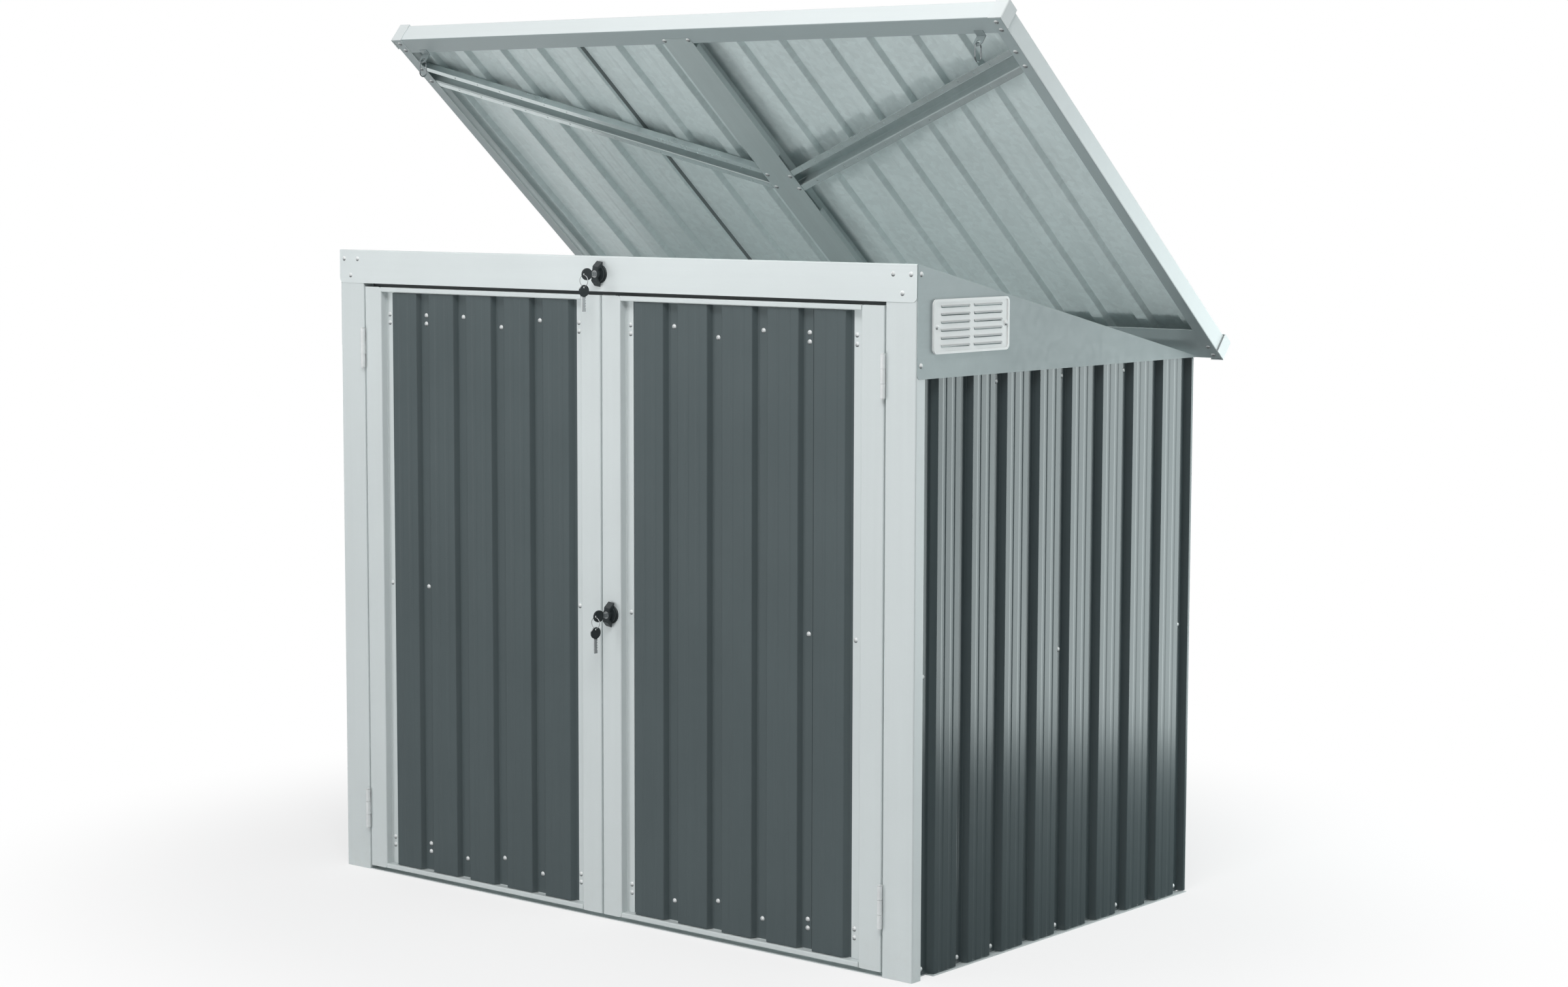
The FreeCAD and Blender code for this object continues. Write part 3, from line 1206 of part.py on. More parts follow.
def main():
    os.makedirs("parts", exist_ok=True)
    right_post = front_post()
    export("right_front_post", right_post)
    export("left_front_post", mirrored(right_post))
    export("header", header())
    corner = rear_post()
    export("rear_posts", [corner, mirrored(corner)])
    export("front_sill", front_sill())
    for kind in ("base", "top"):
        rail = side_rails(kind)
        export("side_%s_rails" % kind, [rail, mirrored(rail)])
    mid = side_rails("mid")
    export("mid_rails", [mid, mirrored(mid), rear_rail("mid")])
    export("rear_base_rail", rear_rail("base"))
    export("rear_top_rail", rear_rail("top"))
    wall = side_wall()
    export("right_side_panel", wall)
    export("left_side_panel", mirrored(wall))
    left_rear, right_rear = rear_walls()
    export("left_rear_panel", left_rear)
    export("right_rear_panel", right_rear)
    right_gable = gable()
    export("right_gable", right_gable)
    export("left_gable", mirrored(right_gable))
    right_vent = vent()
    export("right_vent", right_vent)
    export("left_vent", mirrored(right_vent))

    right_screws = [screw(p, (-1, 0, 0)) for p in gable_screws() + vent_screws()]
    frame_screws = [screw(p, (0, 1, 0)) for p in header_screws()]
    frame_screws += right_screws + [mirrored(s) for s in right_screws]
    export("frame_screws", frame_screws)
    flange, trough = side_screws()
    wall_screws = [screw(p, (-1, 0, 0)) for p in flange + trough]
    wall_screws += [mirrored(s) for s in wall_screws]
    wall_screws += [screw(p, (0, -1, 0)) for p in rear_screws() + wall_leaf_screws()]
    export("wall_screws", wall_screws)

    left_frame, left_door_leaves, left_pins = door_hinges(LEFT_PIN, -1)
    right_frame, right_door_leaves, right_pins = door_hinges(RIGHT_PIN, 1)
    export("door_hinge_frame_leaves", left_frame + right_frame)
    export("left_door_hinge_leaves", left_door_leaves)
    export("right_door_hinge_leaves", right_door_leaves)
    export("hinge_pins", left_pins + right_pins + [lid_hinge_pin(x) for x in LID_HINGE_X])
    export("lid_hinge_wall_leaves", [wall_leaf(x) for x in LID_HINGE_X])

    left_parts = door(LEFT_DOOR, LEFT_STILES, LEFT_FLANGES, LEFT_TROUGHS, 1, None)
    right_parts = door(RIGHT_DOOR, RIGHT_STILES, RIGHT_FLANGES, RIGHT_TROUGHS, 4, DOOR_LOCK_X)
    for name, parts in (("left", left_parts), ("right", right_parts)):
        stiles = ("hinge", "meeting") if name == "left" else ("meeting", "hinge")
        export("%s_door_%s_stile" % (name, stiles[0]), parts[0])
        export("%s_door_%s_stile" % (name, stiles[1]), parts[1])
        export("%s_door_cross_rails" % name, parts[2])
        export("%s_door_panel" % name, parts[3])
        export("%s_door_screws" % name, parts[4])

    for name, shapes in lid_nodes().items():
        export(name, shapes)
    export("left_lid_loop", wire_loop(-1))
    export("right_lid_loop", wire_loop(1))

    for name, x, y, z, way in (("header", HEADER_LOCK_X, FRONT, HEADER_LOCK_Z, "right"),
                               ("door", DOOR_LOCK_X, FACE_Y, DOOR_LOCK_Z, "up")):
        export("%s_lock_base" % name, lock_base(x, y, z))
        export("%s_lock_handle" % name, lock_handle(x, y, z))
        export("%s_lock_cam" % name, lock_cam(x, y, z, way))
        export("%s_lock_key" % name, lock_key(x, y, z))
        export("%s_key_ring" % name, key_ring(x, y, z))


main()
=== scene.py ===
import math

import bpy
from mathutils import Matrix, Vector


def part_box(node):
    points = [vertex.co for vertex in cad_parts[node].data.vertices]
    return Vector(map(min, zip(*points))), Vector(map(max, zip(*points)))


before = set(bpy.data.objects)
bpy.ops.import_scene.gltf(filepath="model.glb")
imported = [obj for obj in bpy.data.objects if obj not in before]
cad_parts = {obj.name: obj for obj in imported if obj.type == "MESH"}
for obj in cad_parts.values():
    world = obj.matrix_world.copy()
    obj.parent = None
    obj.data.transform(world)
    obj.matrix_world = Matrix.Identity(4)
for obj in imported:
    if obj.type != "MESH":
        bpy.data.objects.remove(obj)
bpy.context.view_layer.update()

# The camera that the photograph fits: heading left of straight back, pitch down, roll, place and lens
HEADING = math.radians(39.48)
PITCH = math.radians(5.95)
ROLL = math.radians(0.16)
CAMERA_PLACE = Vector((3.989, -4.767, 1.452))
LENS_MM = 69.78
SENSOR_MM = 36.0

# The raised lid's slope, from its rear edge up to its front edge
LID_TILT = math.radians(39.7)

# How far the header's door stop lies behind its face, and how high it stands: behind and below that it is
# painted near black, a painted shade for the doors' top gaps
FACE_FOLD = 0.003
STOP_HEIGHT = 0.0155

# The painted shadows of the sheets' laps, dark lines from one place along X to another, and how softly
# they end
DOOR_LAP = (0.5018, 0.5060)
LID_LAP = (-0.3132, -0.3104)
LAP_EASE = 0.0004

# The places along Y between which the gables turn darker, a painted shade, and how high dust lies on the
# frame
GABLE_DARKENS = (-0.47, 0.0)
DUST_HEIGHT = 0.12

# The vents' louvres: from one to the next, how far they reach from the vent's middle, and where in each
# louvre's height the painted shade under its lip starts and ends
LOUVRE_PITCH = 0.0142
LOUVRE_INNER = 0.0068
LOUVRE_OUTER = 0.0932
LOUVRE_RISE = 0.0395
LIP_STARTS = (0.46, 0.50)
LIP_ENDS = (0.64, 0.74)

# The keys: how far before the lock's base the black head starts, and the edge between the materials.
# The spare key: how far below the top of its ring its head's middle lies, half the head's size, the
# edge between the materials, and how far out the oval reaches, squared, in half sizes
KEY_HEAD_AHEAD = 0.0215
KEY_EDGE = 0.0002
SPARE_HEAD_DROP = 0.0308
SPARE_HEAD_HALF = Vector((0.0014, 0.0131, 0.0116))
SPARE_EDGE = 0.00005
SPARE_HEAD_OVAL = 1.02

# The sheet colours: walls and roof; doors, a lighter copy of the same slate as painted light; bare zinc;
# silver paint; and a darker grey painted as shade on the lid rails' down-turned faces
SLATE = "434E50"
LIT_DOOR_SLATE = "535D5F"
ZINC = "D4DFDF"
SILVER = "D3DADA"
UNDERSIDE_SHADE = "97A2A3"

# What lies on them: painted shade in the doors' top gaps, dust, painted shade under screw heads and
# hinges, painted shade towards the gables' rear, the painted shadow in a lap, and painted shade under a
# louvre
DOOR_GAP_SHADE = "2A3234"
DUST = "A59C8C"
DOWNWARD_SHADE = "3C4446"
REAR_SHADE = "5F696A"
LAP_SHADOW = "20282A"
LIP_SHADE = "5F686A"

# Patterns of fine noise, as scale, detail and roughness: flecks in paint, orange peel, the grain of the
# keys' heads. How many of a zinc coat's crystals lie along a metre
FLECKS = (900.0, 2.0, 0.6)
PEEL = (520.0, 2.0, 0.5)
KEY_GRAIN = (1300.0, 2.0, 0.6)
CRYSTALS_PER_METRE = 95.0

# Stretches that draw noise out into lines: up the posts and sheets, across the rails, along the slope
UP_POSTS = (45.0, 45.0, 1.1)
ACROSS_RAILS = (1.1, 45.0, 45.0)
DOWN_SHEETS = (70.0, 70.0, 0.8)
DOWN_ROOF = (60.0, 1.2, 60.0)
ALONG_ZINC = (50.0, 1.2, 50.0)
SCRATCHES = (2600.0, 90.0, 90.0)
SCRATCH_TURN = (0.3, 0.5, 0.2)
ROUND_KEY = (300.0, 3000.0, 300.0)
DOWN_SPARE_KEY = (400.0, 400.0, 2500.0)

# The light from all round: its strength and its tone
WORLD_LIGHT = 0.21
WORLD_TONE = (0.93, 0.97, 1.0)

# The floor: its reach, its depth below the object, its colour and the colour that gloss mirrors. The
# camera sees plain white laid over it, by FLOOR_LIFT near the object and wholly from the second of the
# FLOOR_CLEARS distances on. Gloss mirrors plain white left of one place along X and behind one along Y
FLOOR_REACH = 60.0
FLOOR_DEPTH = 0.0005
FLOOR_PALE = (0.88, 0.88, 0.88)
FLOOR_MIRRORED = (0.30, 0.31, 0.31)
FLOOR_LIFT = 0.7
FLOOR_CLEARS = (0.95, 1.8)
WHITE_LEFT_OF = -0.9
WHITE_BEHIND = -0.4


class Wire:
    """One output of a node. Arithmetic on it adds the Math nodes that work it out."""

    def __init__(self, tree, output):
        self.tree = tree
        self.output = output

    def work_out(self, operation, *values):
        """A Math node in this wire's tree."""
        made = self.tree.nodes.new("ShaderNodeMath")
        made.operation = operation
        for socket, value in zip(made.inputs, values):
            plug(self.tree, socket, value)
        return Wire(self.tree, made.outputs[0])

    def __add__(self, other):
        return self.work_out("ADD", self, other)

    def __radd__(self, other):
        return self.work_out("ADD", other, self)

    def __sub__(self, other):
        return self.work_out("SUBTRACT", self, other)

    def __rsub__(self, other):
        return self.work_out("SUBTRACT", other, self)

    def __mul__(self, other):
        return self.work_out("MULTIPLY", self, other)

    def __rmul__(self, other):
        return self.work_out("MULTIPLY", other, self)

    def __truediv__(self, other):
        return self.work_out("DIVIDE", self, other)

    def __pow__(self, other):
        return self.work_out("POWER", self, other)

    def __gt__(self, other):
        return self.work_out("GREATER_THAN", self, other)

    def __lt__(self, other):
        return self.work_out("LESS_THAN", self, other)

    def __abs__(self):
        return self.work_out("ABSOLUTE", self)

    def clipped(self):
        """Kept between 0 and 1."""
        return self.work_out("MINIMUM", self.work_out("MAXIMUM", self, 0.0), 1.0)

    def eased(self, low, high):
        """0 below low, 1 above high, a smooth step between."""
        share = ((self - low) / (high - low)).clipped()
        return share * share * (3.0 - 2.0 * share)

    def between(self, rise, fall):
        """1 from the end of rise to the start of fall, with a smooth step over each, 0 elsewhere."""
        return self.eased(*rise) * (1.0 - self.eased(*fall))


def plug(tree, socket, value):
    """Gives a socket a wire or a value of its own."""
    if isinstance(value, Wire):
        tree.links.new(value.output, socket)
    else:
        socket.default_value = value


def shade(code):
    """Linear colour from a written one."""
    parts = [int(code[i:i + 2], 16) / 255 for i in (0, 2, 4)]
    return tuple(c / 12.92 if c <= 0.04045 else ((c + 0.055) / 1.055) ** 2.4 for c in parts)


def opaque(colour):
    """What a colour socket takes: a wire as it is, three parts with a fourth of 1."""
    return colour if isinstance(colour, Wire) else (*colour, 1.0)


def wavering(middle, *layers):
    """A value that patterns round 0.5 push up and down, each by its amount."""
    total = middle
    for pattern, amount in layers:
        total = total + (pattern - 0.5) * amount
    return total


class Finish:
    """A material on one Principled shader, built up from its nodes."""

    def __init__(self, name):
        self.material = bpy.data.materials.new(name)
        self.material.use_nodes = True
        self.tree = self.material.node_tree
        self.shader = self.tree.nodes["Principled BSDF"]
        self.place = self.node("ShaderNodeTexCoord", output="Object")

    def node(self, kind, settings=None, output=0, **values):
        """Any node: its type, its settings, and its sockets by name, or by n and their number."""
        made = self.tree.nodes.new(kind)
        for key, value in (settings or {}).items():
            setattr(made, key, value)
        for key, value in values.items():
            numbered = key[0] == "n" and key[1:].isdigit()
            plug(self.tree, made.inputs[int(key[1:]) if numbered else key], value)
        return Wire(self.tree, made.outputs[output])

    def placed(self, stretch=(1, 1, 1), turn=(0, 0, 0)):
        """Object coordinates, turned and stretched for a pattern."""
        turned = self.node("ShaderNodeMapping", Vector=self.place, Rotation=turn)
        return self.node("ShaderNodeVectorMath", {"operation": "MULTIPLY"}, n0=turned, n1=stretch)

    def cloud(self, scale, detail, rough, at=None):
        """Noise around 0.5."""
        return self.node("ShaderNodeTexNoise", output="Fac", Vector=at or self.place,
                         Scale=scale, Detail=detail, Roughness=rough)

    def crystal_grey(self, turn):
        """A value of its own for each angular crystal of a zinc coat."""
        cells = self.node("ShaderNodeTexVoronoi", {"feature": "F1"}, "Color",
                          Vector=self.placed(turn=turn), Scale=CRYSTALS_PER_METRE)
        return self.node("ShaderNodeSeparateColor", Color=cells)

    def crystal_edge(self, turn):
        """How far inside its crystal a place lies."""
        return self.node("ShaderNodeTexVoronoi", {"feature": "DISTANCE_TO_EDGE"}, "Distance",
                         Vector=self.placed(turn=turn), Scale=CRYSTALS_PER_METRE)

    def axis(self, letter):
        """The place along one axis, in metres."""
        return self.node("ShaderNodeSeparateXYZ", Vector=self.place, output=letter)

    def facing(self, way):
        """How squarely the surface faces a direction, 1 when it looks straight along it."""
        return self.node("ShaderNodeVectorMath", {"operation": "DOT_PRODUCT"}, "Value",
                         n0=self.node("ShaderNodeTexCoord", output="Normal"), n1=way)

    def blend(self, share, base, top):
        """One colour laid over another by share. The Mix node's colour sockets go by number."""
        return self.node("ShaderNodeMix", {"data_type": "RGBA"}, 2,
                         n0=share, n6=opaque(base), n7=opaque(top))

    def varied(self, share, code, low, high):
        """A written colour, from low to high times as bright as share goes from 0 to 1."""
        darkest, lightest = (tuple(min(1.0, c * times) for c in shade(code)) for times in (low, high))
        return self.blend(share.clipped(), darkest, lightest)

    def wear(self, colour, roughness, metallic=0.0, bump=(), specular=0.5):
        """Sets up the shader. Bump is layers from the lowest up, each a height in metres and a
        strength."""
        normal = {}
        for height, strength in bump:
            layer = self.node("ShaderNodeBump", Height=height, Strength=strength, Distance=1.0, **normal)
            normal = {"Normal": layer}
        sockets = {"Base Color": opaque(colour), "Roughness": roughness, "Metallic": metallic,
                   "Specular IOR Level": specular, **normal}
        for key, value in sockets.items():
            plug(self.tree, self.shader.inputs[key], value)
        return self.material


def sheet_waves(finish, scale, height, detail=2.0):
    """Bump layer: the slow waves and dents of thin folded sheet."""
    return finish.cloud(scale, detail, 0.4) * height, 1.0


def orange_peel(finish):
    """Bump layer: the fine ripple of factory paint."""
    return finish.cloud(*PEEL) * 0.000035, 0.5


def painted_steel(name, code, flow, shaded_facing=None, stop_shade=None):
    """Factory paint on folded sheet. Slow mottling, fine flecks, faint lines along the rolling direction,
    orange peel and the slow waves of thin sheet, dust that gathers near the ground. Faces that look along
    the way given for shade carry a darker grey, a painted shade on faces turned from the light. The
    stop's shade is a place along Y and one along Z: what lies further back and lower is painted near
    black, a painted shade where the doors' top gaps are dark."""
    f = Finish(name)
    mottle = f.cloud(2.3, 4.0, 0.55)
    flecks = f.cloud(*FLECKS)
    lines = f.cloud(1.0, 3.0, 0.6, f.placed(flow))
    share = wavering(0.5, (mottle, 0.6), (flecks, 0.3), (lines, 0.3))
    near_ground = 1.0 - f.axis("Z").eased(0.0, DUST_HEIGHT)
    dust = near_ground * f.cloud(28.0, 5.0, 0.65).eased(0.4, 0.8) * 0.10
    colour = f.blend(dust, f.varied(share, code, 0.88, 1.10), shade(DUST))
    # Painted shade: faces that turn the given way, away from the light, take a darker grey
    if shaded_facing:
        shaded_copy = f.varied(share, UNDERSIDE_SHADE, 0.90, 1.10)
        colour = f.blend(f.facing(shaded_facing).eased(0.55, 0.8), colour, shaded_copy)
    if stop_shade:
        # Painted shade: what lies behind and below the place is painted near black, as the doors' top
        # gaps lie in shade
        behind, below = stop_shade
        bare = (f.axis("Y") > behind) * (f.axis("Z") < below)
        colour = f.blend(bare * 0.9, colour, shade(DOOR_GAP_SHADE))
    rough = wavering(0.40, (mottle, 0.12), (lines, 0.10)) + dust * 0.5
    return f.wear(colour, rough.clipped(), bump=(sheet_waves(f, 3.2, 0.00025), orange_peel(f)))


def coated_sheet(name, outward, flow, turn=(0, 0, 0), code=SLATE, lap=None):
    """Ribbed sheet: slate paint on the side that faces outward, bare zinc behind. The two sides are told
    apart by which way they face. Lap is the two places along X between which a dark line is painted, the
    painted shadow in the overlap of two sheets."""
    f = Finish(name)
    outside = f.facing(outward).eased(-0.05, 0.05)
    inside = 1.0 - outside
    crystal = f.crystal_grey(turn)
    lines = f.cloud(1.0, 4.0, 0.65, f.placed(flow, turn))
    bloom = f.cloud(4.0, 5.0, 0.6)
    flecks = f.cloud(*FLECKS)
    zinc_share = wavering(0.5, (crystal, 0.34), (lines, 0.25), (bloom, 0.7))
    paint_share = wavering(0.5, (bloom, 0.6), (lines, 0.30), (flecks, 0.35))
    zinc = f.varied(zinc_share, ZINC, 0.84, 1.12)
    colour = f.blend(outside, zinc, f.varied(paint_share, code, 0.86, 1.14))
    # Painted shadow: a dark line along the lap, where the overlap of the sheets lies in shade
    if lap:
        start, end = lap
        lap_shadow = f.axis("X").between((start - LAP_EASE, start), (end, end + LAP_EASE))
        colour = f.blend(lap_shadow * 0.75, colour, shade(LAP_SHADOW))
    rough = wavering(0.22, (bloom, 0.12)) + inside * wavering(0.26, (crystal, 0.12))
    bump = (sheet_waves(f, 2.2, 0.0003, detail=1.0), orange_peel(f))
    return f.wear(colour, rough.clipped(), inside * 0.2, bump)


def zinc_sheet(name, code, metallic, roughness, dents, spangle, turn=(0, 0, 0), darkens=None):
    """Zinc-coated sheet. Angular crystals in slightly different greys, as strong as spangle, drawn-out
    rolling lines, a thin white bloom, and dents of a scale and a height. Darkens is two places along Y
    between which the sheet turns darker, a painted shade."""
    f = Finish(name)
    crystal = f.crystal_grey(turn)
    lines = f.cloud(1.0, 4.0, 0.65, f.placed(ALONG_ZINC, turn))
    bloom = f.cloud(5.0, 5.0, 0.6)
    share = wavering(0.5, (crystal, 0.42 * spangle), (lines, 0.55), (bloom, 0.7))
    colour = f.varied(share, code, 0.84, 1.14)
    # Painted shade: the sheet darkens along Y towards the rear
    if darkens:
        colour = f.blend(f.axis("Y").eased(*darkens) * 0.6, colour, shade(REAR_SHADE))
    rough = wavering(roughness, (crystal, 0.16 * spangle), (bloom, 0.22))
    facets = f.crystal_edge(turn).eased(0.0, 0.12) * (0.00001 * spangle)
    return f.wear(colour, rough.clipped(), metallic, (sheet_waves(f, *dents), (facets, 0.6)))


def moulded(name, code, roughness, vent_middle=None):
    """Injection-moulded plastic: spark-eroded grain and faint flow marks. Where it is a vent, a painted
    shade lies under the lip of each of its louvres."""
    f = Finish(name)
    flow = f.cloud(14.0, 4.0, 0.6)
    grain = f.cloud(1500.0, 2.0, 0.6)
    colour = f.varied(wavering(0.5, (flow, 0.8), (grain, 0.25)), code, 0.93, 1.03)
    # Painted shade under the lip of each louvre
    if vent_middle is not None:
        up = f.axis("Z") - vent_middle.z
        aside = abs(f.axis("Y") - vent_middle.y)
        louvres_up = up / LOUVRE_PITCH
        lip = louvres_up.work_out("FRACT", louvres_up).between(LIP_STARTS, LIP_ENDS)
        lip = lip * (aside > LOUVRE_INNER) * (aside < LOUVRE_OUTER) * (abs(up) < LOUVRE_RISE)
        colour = f.blend(lip * 0.5, colour, shade(LIP_SHADE))
    rough = wavering(roughness, (flow, 0.12))
    return f.wear(colour, rough, bump=((grain * 0.00003, 0.6), (flow * 0.0001, 0.5)))


def plated(name, code, roughness, metallic, turned_down_shade=0.0):
    """Zinc or nickel plate: fine slanting scratches, a slow cloud of duller metal, and a painted shade,
    as strong as asked, where the surface turns down."""
    f = Finish(name)
    cloud = f.cloud(45.0, 4.0, 0.6)
    scratch = f.cloud(1.0, 2.0, 0.6, f.placed(SCRATCHES, SCRATCH_TURN))
    colour = f.varied(wavering(0.5, (cloud, 1.0), (scratch, 0.4)), code, 0.80, 1.12)
    # Painted shade: faces that turn down grow darker
    under = f.facing((0, 0, -1)).eased(0.1, 0.6)
    colour = f.blend(under * turned_down_shade, colour, shade(DOWNWARD_SHADE))
    rough = wavering(roughness, (cloud, 0.25), (scratch, 0.1))
    return f.wear(colour, rough.clipped(), metallic, ((scratch * 0.00001, 0.6),))


def black_casting():
    """Satin black lock body: fine powder grain over a slow cloud of lighter and darker black."""
    f = Finish("black_casting")
    grain = f.cloud(1100.0, 2.0, 0.6)
    cloud = f.cloud(60.0, 3.0, 0.6)
    colour = f.varied(wavering(0.5, (cloud, 0.9), (grain, 0.5)), "2A3133", 0.75, 1.3)
    return f.wear(colour, wavering(0.34, (cloud, 0.2)), bump=((grain * 0.00003, 0.6),))


def key_colours(finish, grain, lines, steel_share, dark_steel, light_steel):
    """The two colours of a key: brushed steel, and the black moulding of its head."""
    steel = finish.blend(wavering(0.5, (lines, steel_share)).clipped(), shade(dark_steel),
                         shade(light_steel))
    black = finish.blend(wavering(0.5, (grain, 0.6)).clipped(), shade("23292B"), shade("343B3D"))
    return steel, black


def key_finish(lock):
    """Key in its lock: a chrome cylinder and steel blade behind, a black moulded head in front."""
    f = Finish(lock + "_key_finish")
    head_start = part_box(lock + "_lock_base")[0][1] - KEY_HEAD_AHEAD
    head = 1.0 - f.axis("Y").eased(head_start - KEY_EDGE, head_start + KEY_EDGE)
    grain = f.cloud(*KEY_GRAIN)
    lines = f.cloud(1.0, 2.0, 0.6, f.placed(ROUND_KEY))
    steel, black = key_colours(f, grain, lines, 0.8, "A8ADAF", "DCE0E1")
    rough = 0.22 + head * 0.2 + (lines - 0.5) * 0.1
    return f.wear(f.blend(head, steel, black), rough, (1.0 - head) * 0.95, ((grain * 0.00002, 0.5),))


def spare_key_finish(lock):
    """Wire ring and spare key: bright steel, with the spare key's oval head black."""
    f = Finish(lock + "_spare_key_finish")
    low, high = (Vector(corner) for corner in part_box(lock + "_key_ring"))
    middle = (low + high) / 2
    half = SPARE_HEAD_HALF
    aside = abs(f.axis("X") - middle.x).eased(half.x - SPARE_EDGE, half.x + SPARE_EDGE)
    across = (f.axis("Y") - middle.y) / half.y
    up = (f.axis("Z") - (high.z - SPARE_HEAD_DROP)) / half.z
    head = (1.0 - aside) * (across ** 2.0 + up ** 2.0 < SPARE_HEAD_OVAL)
    grain = f.cloud(*KEY_GRAIN)
    lines = f.cloud(1.0, 2.0, 0.6, f.placed(DOWN_SPARE_KEY))
    steel, black = key_colours(f, grain, lines, 0.9, "A3A8AA", "E2E5E6")
    return f.wear(f.blend(head, steel, black), 0.22 + head * 0.22, (1.0 - head) * 0.5,
                  ((grain * 0.00002, 0.4),))


def dress(finish, *nodes):
    """Gives CAD nodes a finish."""
    for name in nodes:
        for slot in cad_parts[name].material_slots:
            slot.material = finish


def dress_frame():
    """The silver posts, rails and stiles of the housing, the doors and the lid."""
    dress(painted_steel("silver_frame_paint", SILVER, UP_POSTS), "right_front_post", "left_front_post",
          "rear_posts", "left_door_hinge_stile", "left_door_meeting_stile", "right_door_meeting_stile",
          "right_door_hinge_stile", "side_base_rails", "side_top_rails")
    dress(painted_steel("silver_across_paint", SILVER, ACROSS_RAILS), "front_sill", "mid_rails",
          "rear_base_rail", "rear_top_rail", "left_door_cross_rails", "right_door_cross_rails")
    # The header's door stop carries a painted shade: near black where it lies in the doors' top gaps
    header_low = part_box("header")[0]
    door_stop = (header_low[1] + FACE_FOLD, header_low[2] + STOP_HEIGHT)
    # The header's silver is a lighter copy of the frame's silver, as painted light
    dress(painted_steel("silver_header_paint", "DAE1E1", ACROSS_RAILS, stop_shade=door_stop), "header")
    # The lid rails' faces that turn down take a darker grey: a painted shade
    underneath = (0, -math.sin(LID_TILT), -math.cos(LID_TILT))
    # The lid rails' silver is a lighter copy of the frame's silver, as painted light
    dress(painted_steel("silver_lid_paint", "DDE4E4", ACROSS_RAILS, shaded_facing=underneath),
          "lid_front_rail", "lid_rear_rail", "lid_right_rail", "lid_left_rail")


def dress_sheets():
    """The ribbed sheets of walls, doors and lid, and the bare zinc of gables, braces and strut."""
    dress(coated_sheet("right_wall_sheet", (1, 0, 0), DOWN_SHEETS), "right_side_panel")
    dress(coated_sheet("left_wall_sheet", (-1, 0, 0), DOWN_SHEETS), "left_side_panel")
    dress(coated_sheet("rear_wall_sheet", (0, 1, 0), DOWN_SHEETS), "left_rear_panel", "right_rear_panel")
    # The doors take a lighter copy of the walls' slate: painted light
    for side, lap in (("left", None), ("right", DOOR_LAP)):
        finish = coated_sheet(side + "_door_sheet", (0, -1, 0), DOWN_SHEETS, code=LIT_DOOR_SLATE, lap=lap)
        dress(finish, side + "_door_panel")
    upward = (0, math.sin(LID_TILT), math.cos(LID_TILT))
    lean = (LID_TILT, 0, 0)
    dress(coated_sheet("roof_sheet", upward, DOWN_ROOF, lean), "lid_left_sheet")
    dress(coated_sheet("roof_lap_sheet", upward, DOWN_ROOF, lean, lap=LID_LAP), "lid_right_sheet")
    # The gables darken towards the rear as painted shade
    dress(zinc_sheet("zinc_gable", "9DA8A9", metallic=0.1, roughness=0.5, dents=(3.0, 0.0001),
                     spangle=0.4, darkens=GABLE_DARKENS), "right_gable", "left_gable")
    dress(zinc_sheet("zinc_brace", "CFD9D9", metallic=0.6, roughness=0.24, dents=(9.0, 0.0003),
                     spangle=0.2, turn=lean), "lid_braces")
    dress(zinc_sheet("zinc_strut", "B6C1C1", metallic=0.35, roughness=0.46, dents=(7.0, 0.0005),
                     spangle=0.1, turn=lean), "lid_strut")


def dress_fittings():
    """Vents, corner caps, screws, hinges, loops, locks and keys."""
    vent_low, vent_high = (Vector(corner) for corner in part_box("right_vent"))
    vent = moulded("white_vent_plastic", "EEF0EF", roughness=0.45, vent_middle=(vent_low + vent_high) / 2)
    dress(vent, "right_vent", "left_vent")
    dress(moulded("white_cap_plastic", "DDE3E3", roughness=0.40), "lid_corner_caps")
    # Screw heads and hinges carry painted shade where they turn down
    dress(plated("zinc_screw_plate", "F0F3F3", roughness=0.30, metallic=0.3, turned_down_shade=0.8),
          "frame_screws", "wall_screws", "left_door_screws", "right_door_screws", "lid_screws")
    dress(plated("zinc_hinge_plate", "ECEFEF", roughness=0.34, metallic=0.12, turned_down_shade=0.3),
          "door_hinge_frame_leaves", "left_door_hinge_leaves", "right_door_hinge_leaves", "hinge_pins",
          "lid_hinge_wall_leaves", "lid_hinge_leaves", "header_lock_cam", "door_lock_cam")
    dress(plated("dull_lug_zinc", "97A2A3", roughness=0.40, metallic=0.3), "lid_loop_lugs")
    dress(plated("bright_loop_wire", "9DA4A6", roughness=0.25, metallic=0.95),
          "left_lid_loop", "right_lid_loop")
    dress(black_casting(), "header_lock_base", "door_lock_base", "header_lock_handle",
          "door_lock_handle")
    for lock in ("header", "door"):
        dress(key_finish(lock), lock + "_lock_key")
        dress(spare_key_finish(lock), lock + "_key_ring")


def rays(tree, *kinds):
    """1 for rays of any of the kinds, 0 for the rest."""
    path = tree.nodes.new("ShaderNodeLightPath")
    found, *others = (Wire(tree, path.outputs[f"Is {kind} Ray"]) for kind in kinds)
    for other in others:
        found = found.work_out("MAXIMUM", found, other)
    return found


def mix_shaders(tree, share, base, top, out):
    """Gives an output node two shaders, the second laid over the first by share."""
    mix = tree.nodes.new("ShaderNodeMixShader")
    plug(tree, mix.inputs[0], share)
    tree.links.new(base.outputs[0], mix.inputs[1])
    tree.links.new(top.outputs[0], mix.inputs[2])
    tree.links.new(mix.outputs[0], out.inputs["Surface"])


def set_world():
    """Even pale light from all round, white where the camera or a reflection sees it."""
    world = bpy.data.worlds.new("studio")
    bpy.context.scene.world = world
    world.use_nodes = True
    tree = world.node_tree
    tree.nodes.clear()
    lit, white = (tree.nodes.new("ShaderNodeBackground") for _ in range(2))
    for background, tone, strength in ((lit, WORLD_TONE, WORLD_LIGHT), (white, (1.0, 1.0, 1.0), 1.0)):
        background.inputs["Color"].default_value = opaque(tone)
        background.inputs["Strength"].default_value = strength
    watched = rays(tree, "Camera", "Glossy", "Transmission")
    mix_shaders(tree, watched, lit, white, tree.nodes.new("ShaderNodeOutputWorld"))


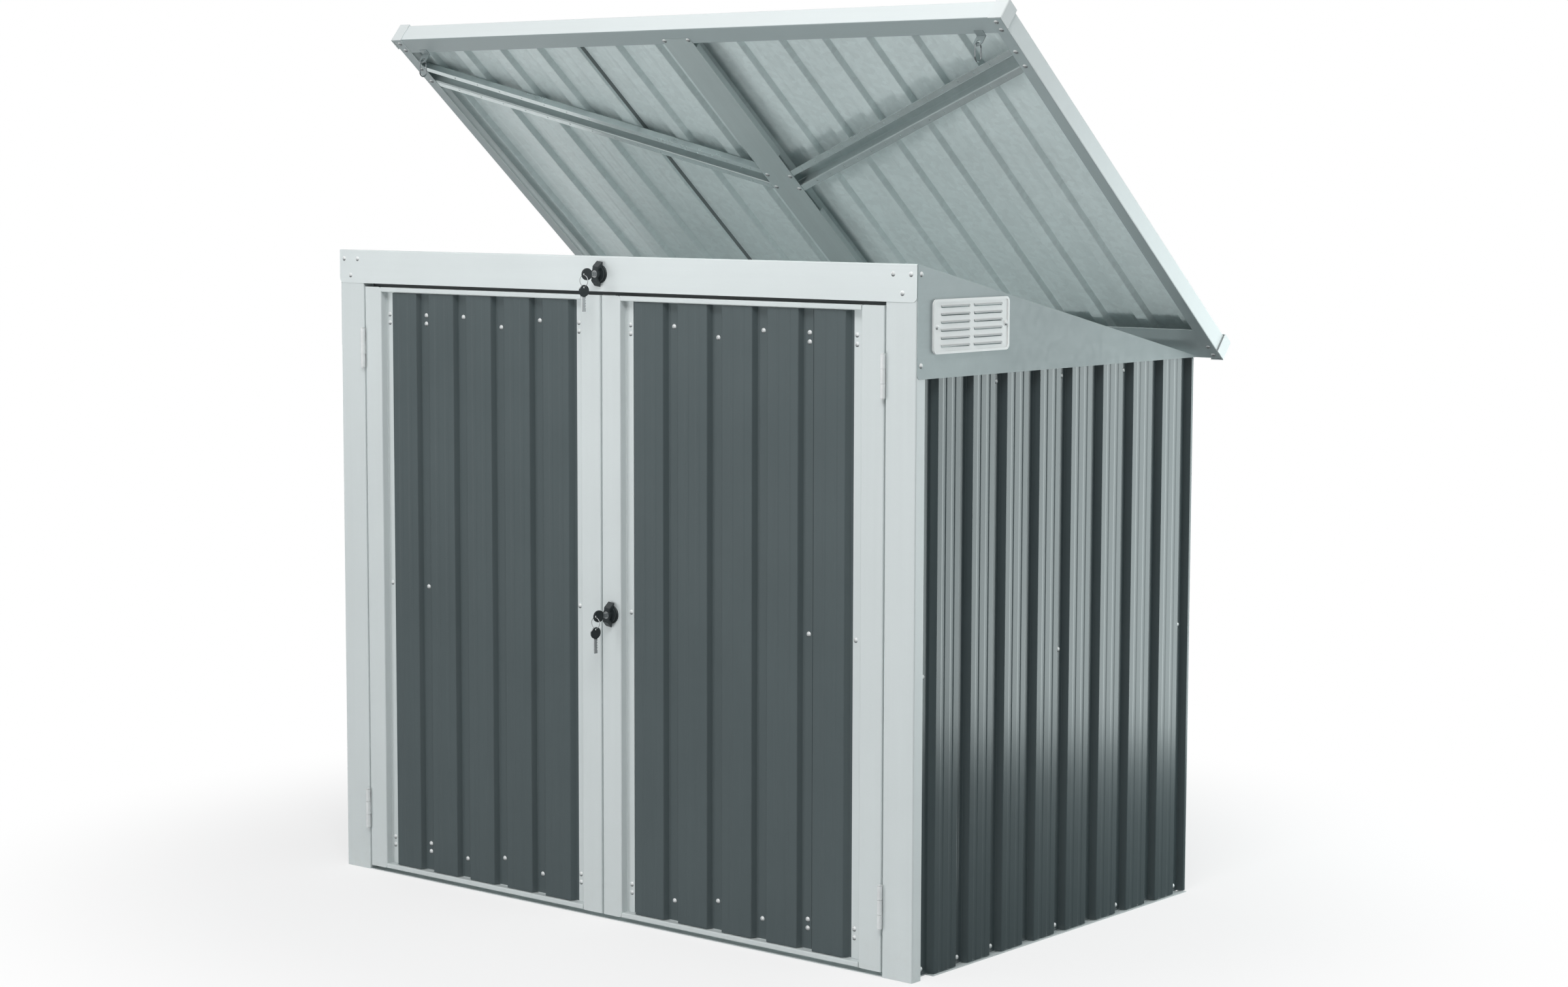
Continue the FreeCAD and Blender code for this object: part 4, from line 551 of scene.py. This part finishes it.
def add_floor():
    """Pale floor with the object's shadow. Away from the object the camera sees it as plain white, so
    that no horizon shows. Gloss on the object mirrors it as darker ground, but for the white on the
    object's left."""
    mesh = bpy.data.meshes.new("floor")
    corners = [(x * FLOOR_REACH, y * FLOOR_REACH, -FLOOR_DEPTH)
               for x, y in ((-1, -1), (1, -1), (1, 1), (-1, 1))]
    mesh.from_pydata(corners, [], [(0, 1, 2, 3)])
    floor = bpy.data.objects.new("floor", mesh)
    bpy.context.collection.objects.link(floor)
    f = Finish("pale_floor")
    seen = rays(f.tree, "Camera")
    mirrored = rays(f.tree, "Glossy")
    beside = (f.axis("X") < WHITE_LEFT_OF) * (f.axis("Y") > WHITE_BEHIND)
    ground = f.blend(mirrored * (1.0 - beside), FLOOR_PALE, FLOOR_MIRRORED)
    f.wear(ground, 0.9, specular=0.0)
    away = f.node("ShaderNodeVectorMath", {"operation": "LENGTH"}, "Value", n0=f.place)
    share = seen * (FLOOR_LIFT + (1.0 - FLOOR_LIFT) * away.eased(*FLOOR_CLEARS)) + mirrored * beside
    white = f.tree.nodes.new("ShaderNodeEmission")
    mix_shaders(f.tree, share.clipped(), f.shader, white, f.tree.nodes["Material Output"])
    mesh.materials.append(f.material)


def add_lamp(name, place, aim, size, watts, tone=(1.0, 1.0, 1.0), mirrored=False, spread=180.0):
    """Rectangular soft light at a place, aimed at a point, its beam spread in degrees. Gloss on the
    object shows it only where mirrored."""
    lamp = bpy.data.lights.new(name, "AREA")
    lamp.shape = "RECTANGLE"
    lamp.size, lamp.size_y = size
    lamp.energy = watts
    lamp.color = tone
    lamp.spread = math.radians(spread)
    holder = bpy.data.objects.new(name, lamp)
    holder.visible_camera = False
    holder.visible_glossy = mirrored
    holder.location = place
    holder.rotation_euler = (Vector(aim) - Vector(place)).to_track_quat("-Z", "Y").to_euler()
    bpy.context.collection.objects.link(holder)


def add_lamps():
    """Open sky, two soft lights on the front and the lid's edges, and three small ones: under the lid,
    a white card that the right wall mirrors, and one in the housing that lights the lid from below."""
    add_lamp("top_light", place=(0.0, -0.8, 6.5), aim=(0.0, -0.6, 0.0), size=(6.0, 6.0), watts=105.0)
    add_lamp("brow_light", place=(1.7, -2.8, 3.8), aim=(0.2, -0.4, 0.8), size=(1.8, 1.4), watts=76.0)
    add_lamp("low_left_light", place=(-3.4, -6.8, 0.9), aim=(0.0, -0.2, 1.2), size=(4.0, 2.0),
             watts=160.0)
    add_lamp("under_lid_light", place=(-1.2, -2.6, 0.2), aim=(0.1, -0.3, 1.6), size=(1.4, 0.6),
             watts=0.8, spread=44.0)
    add_lamp("wall_card", place=(1.57, 1.867, 0.8), aim=(1.0075, 1.039, 0.8), size=(1.66, 1.6),
             watts=32.5, tone=(0.90, 1.0, 1.0), mirrored=True)
    add_lamp("inner_light", place=(0.34, -0.24, 0.35), aim=(0.34, -0.1, 1.6), size=(0.7, 0.3), watts=3.9)


def add_camera():
    """Camera at the photograph's fitted place, looking along its fitted direction."""
    ahead = Vector((-math.sin(HEADING) * math.cos(PITCH), math.cos(HEADING) * math.cos(PITCH),
                    -math.sin(PITCH)))
    level = Vector((math.cos(HEADING), math.sin(HEADING), 0.0))
    upward = level.cross(ahead)
    right = level * math.cos(ROLL) + upward * math.sin(ROLL)
    top = upward * math.cos(ROLL) - level * math.sin(ROLL)
    camera = bpy.data.cameras.new("photo_camera")
    camera.lens = LENS_MM
    camera.sensor_width = SENSOR_MM
    camera.sensor_fit = "HORIZONTAL"
    camera.clip_end = 200.0
    holder = bpy.data.objects.new("photo_camera", camera)
    turned = Matrix((right, top, -ahead)).transposed().to_4x4()
    holder.matrix_world = Matrix.Translation(CAMERA_PLACE) @ turned
    bpy.context.collection.objects.link(holder)
    bpy.context.scene.camera = holder


bpy.context.scene.view_settings.view_transform = "Standard"
dress_frame()
dress_sheets()
dress_fittings()
set_world()
add_floor()
add_lamps()
add_camera()
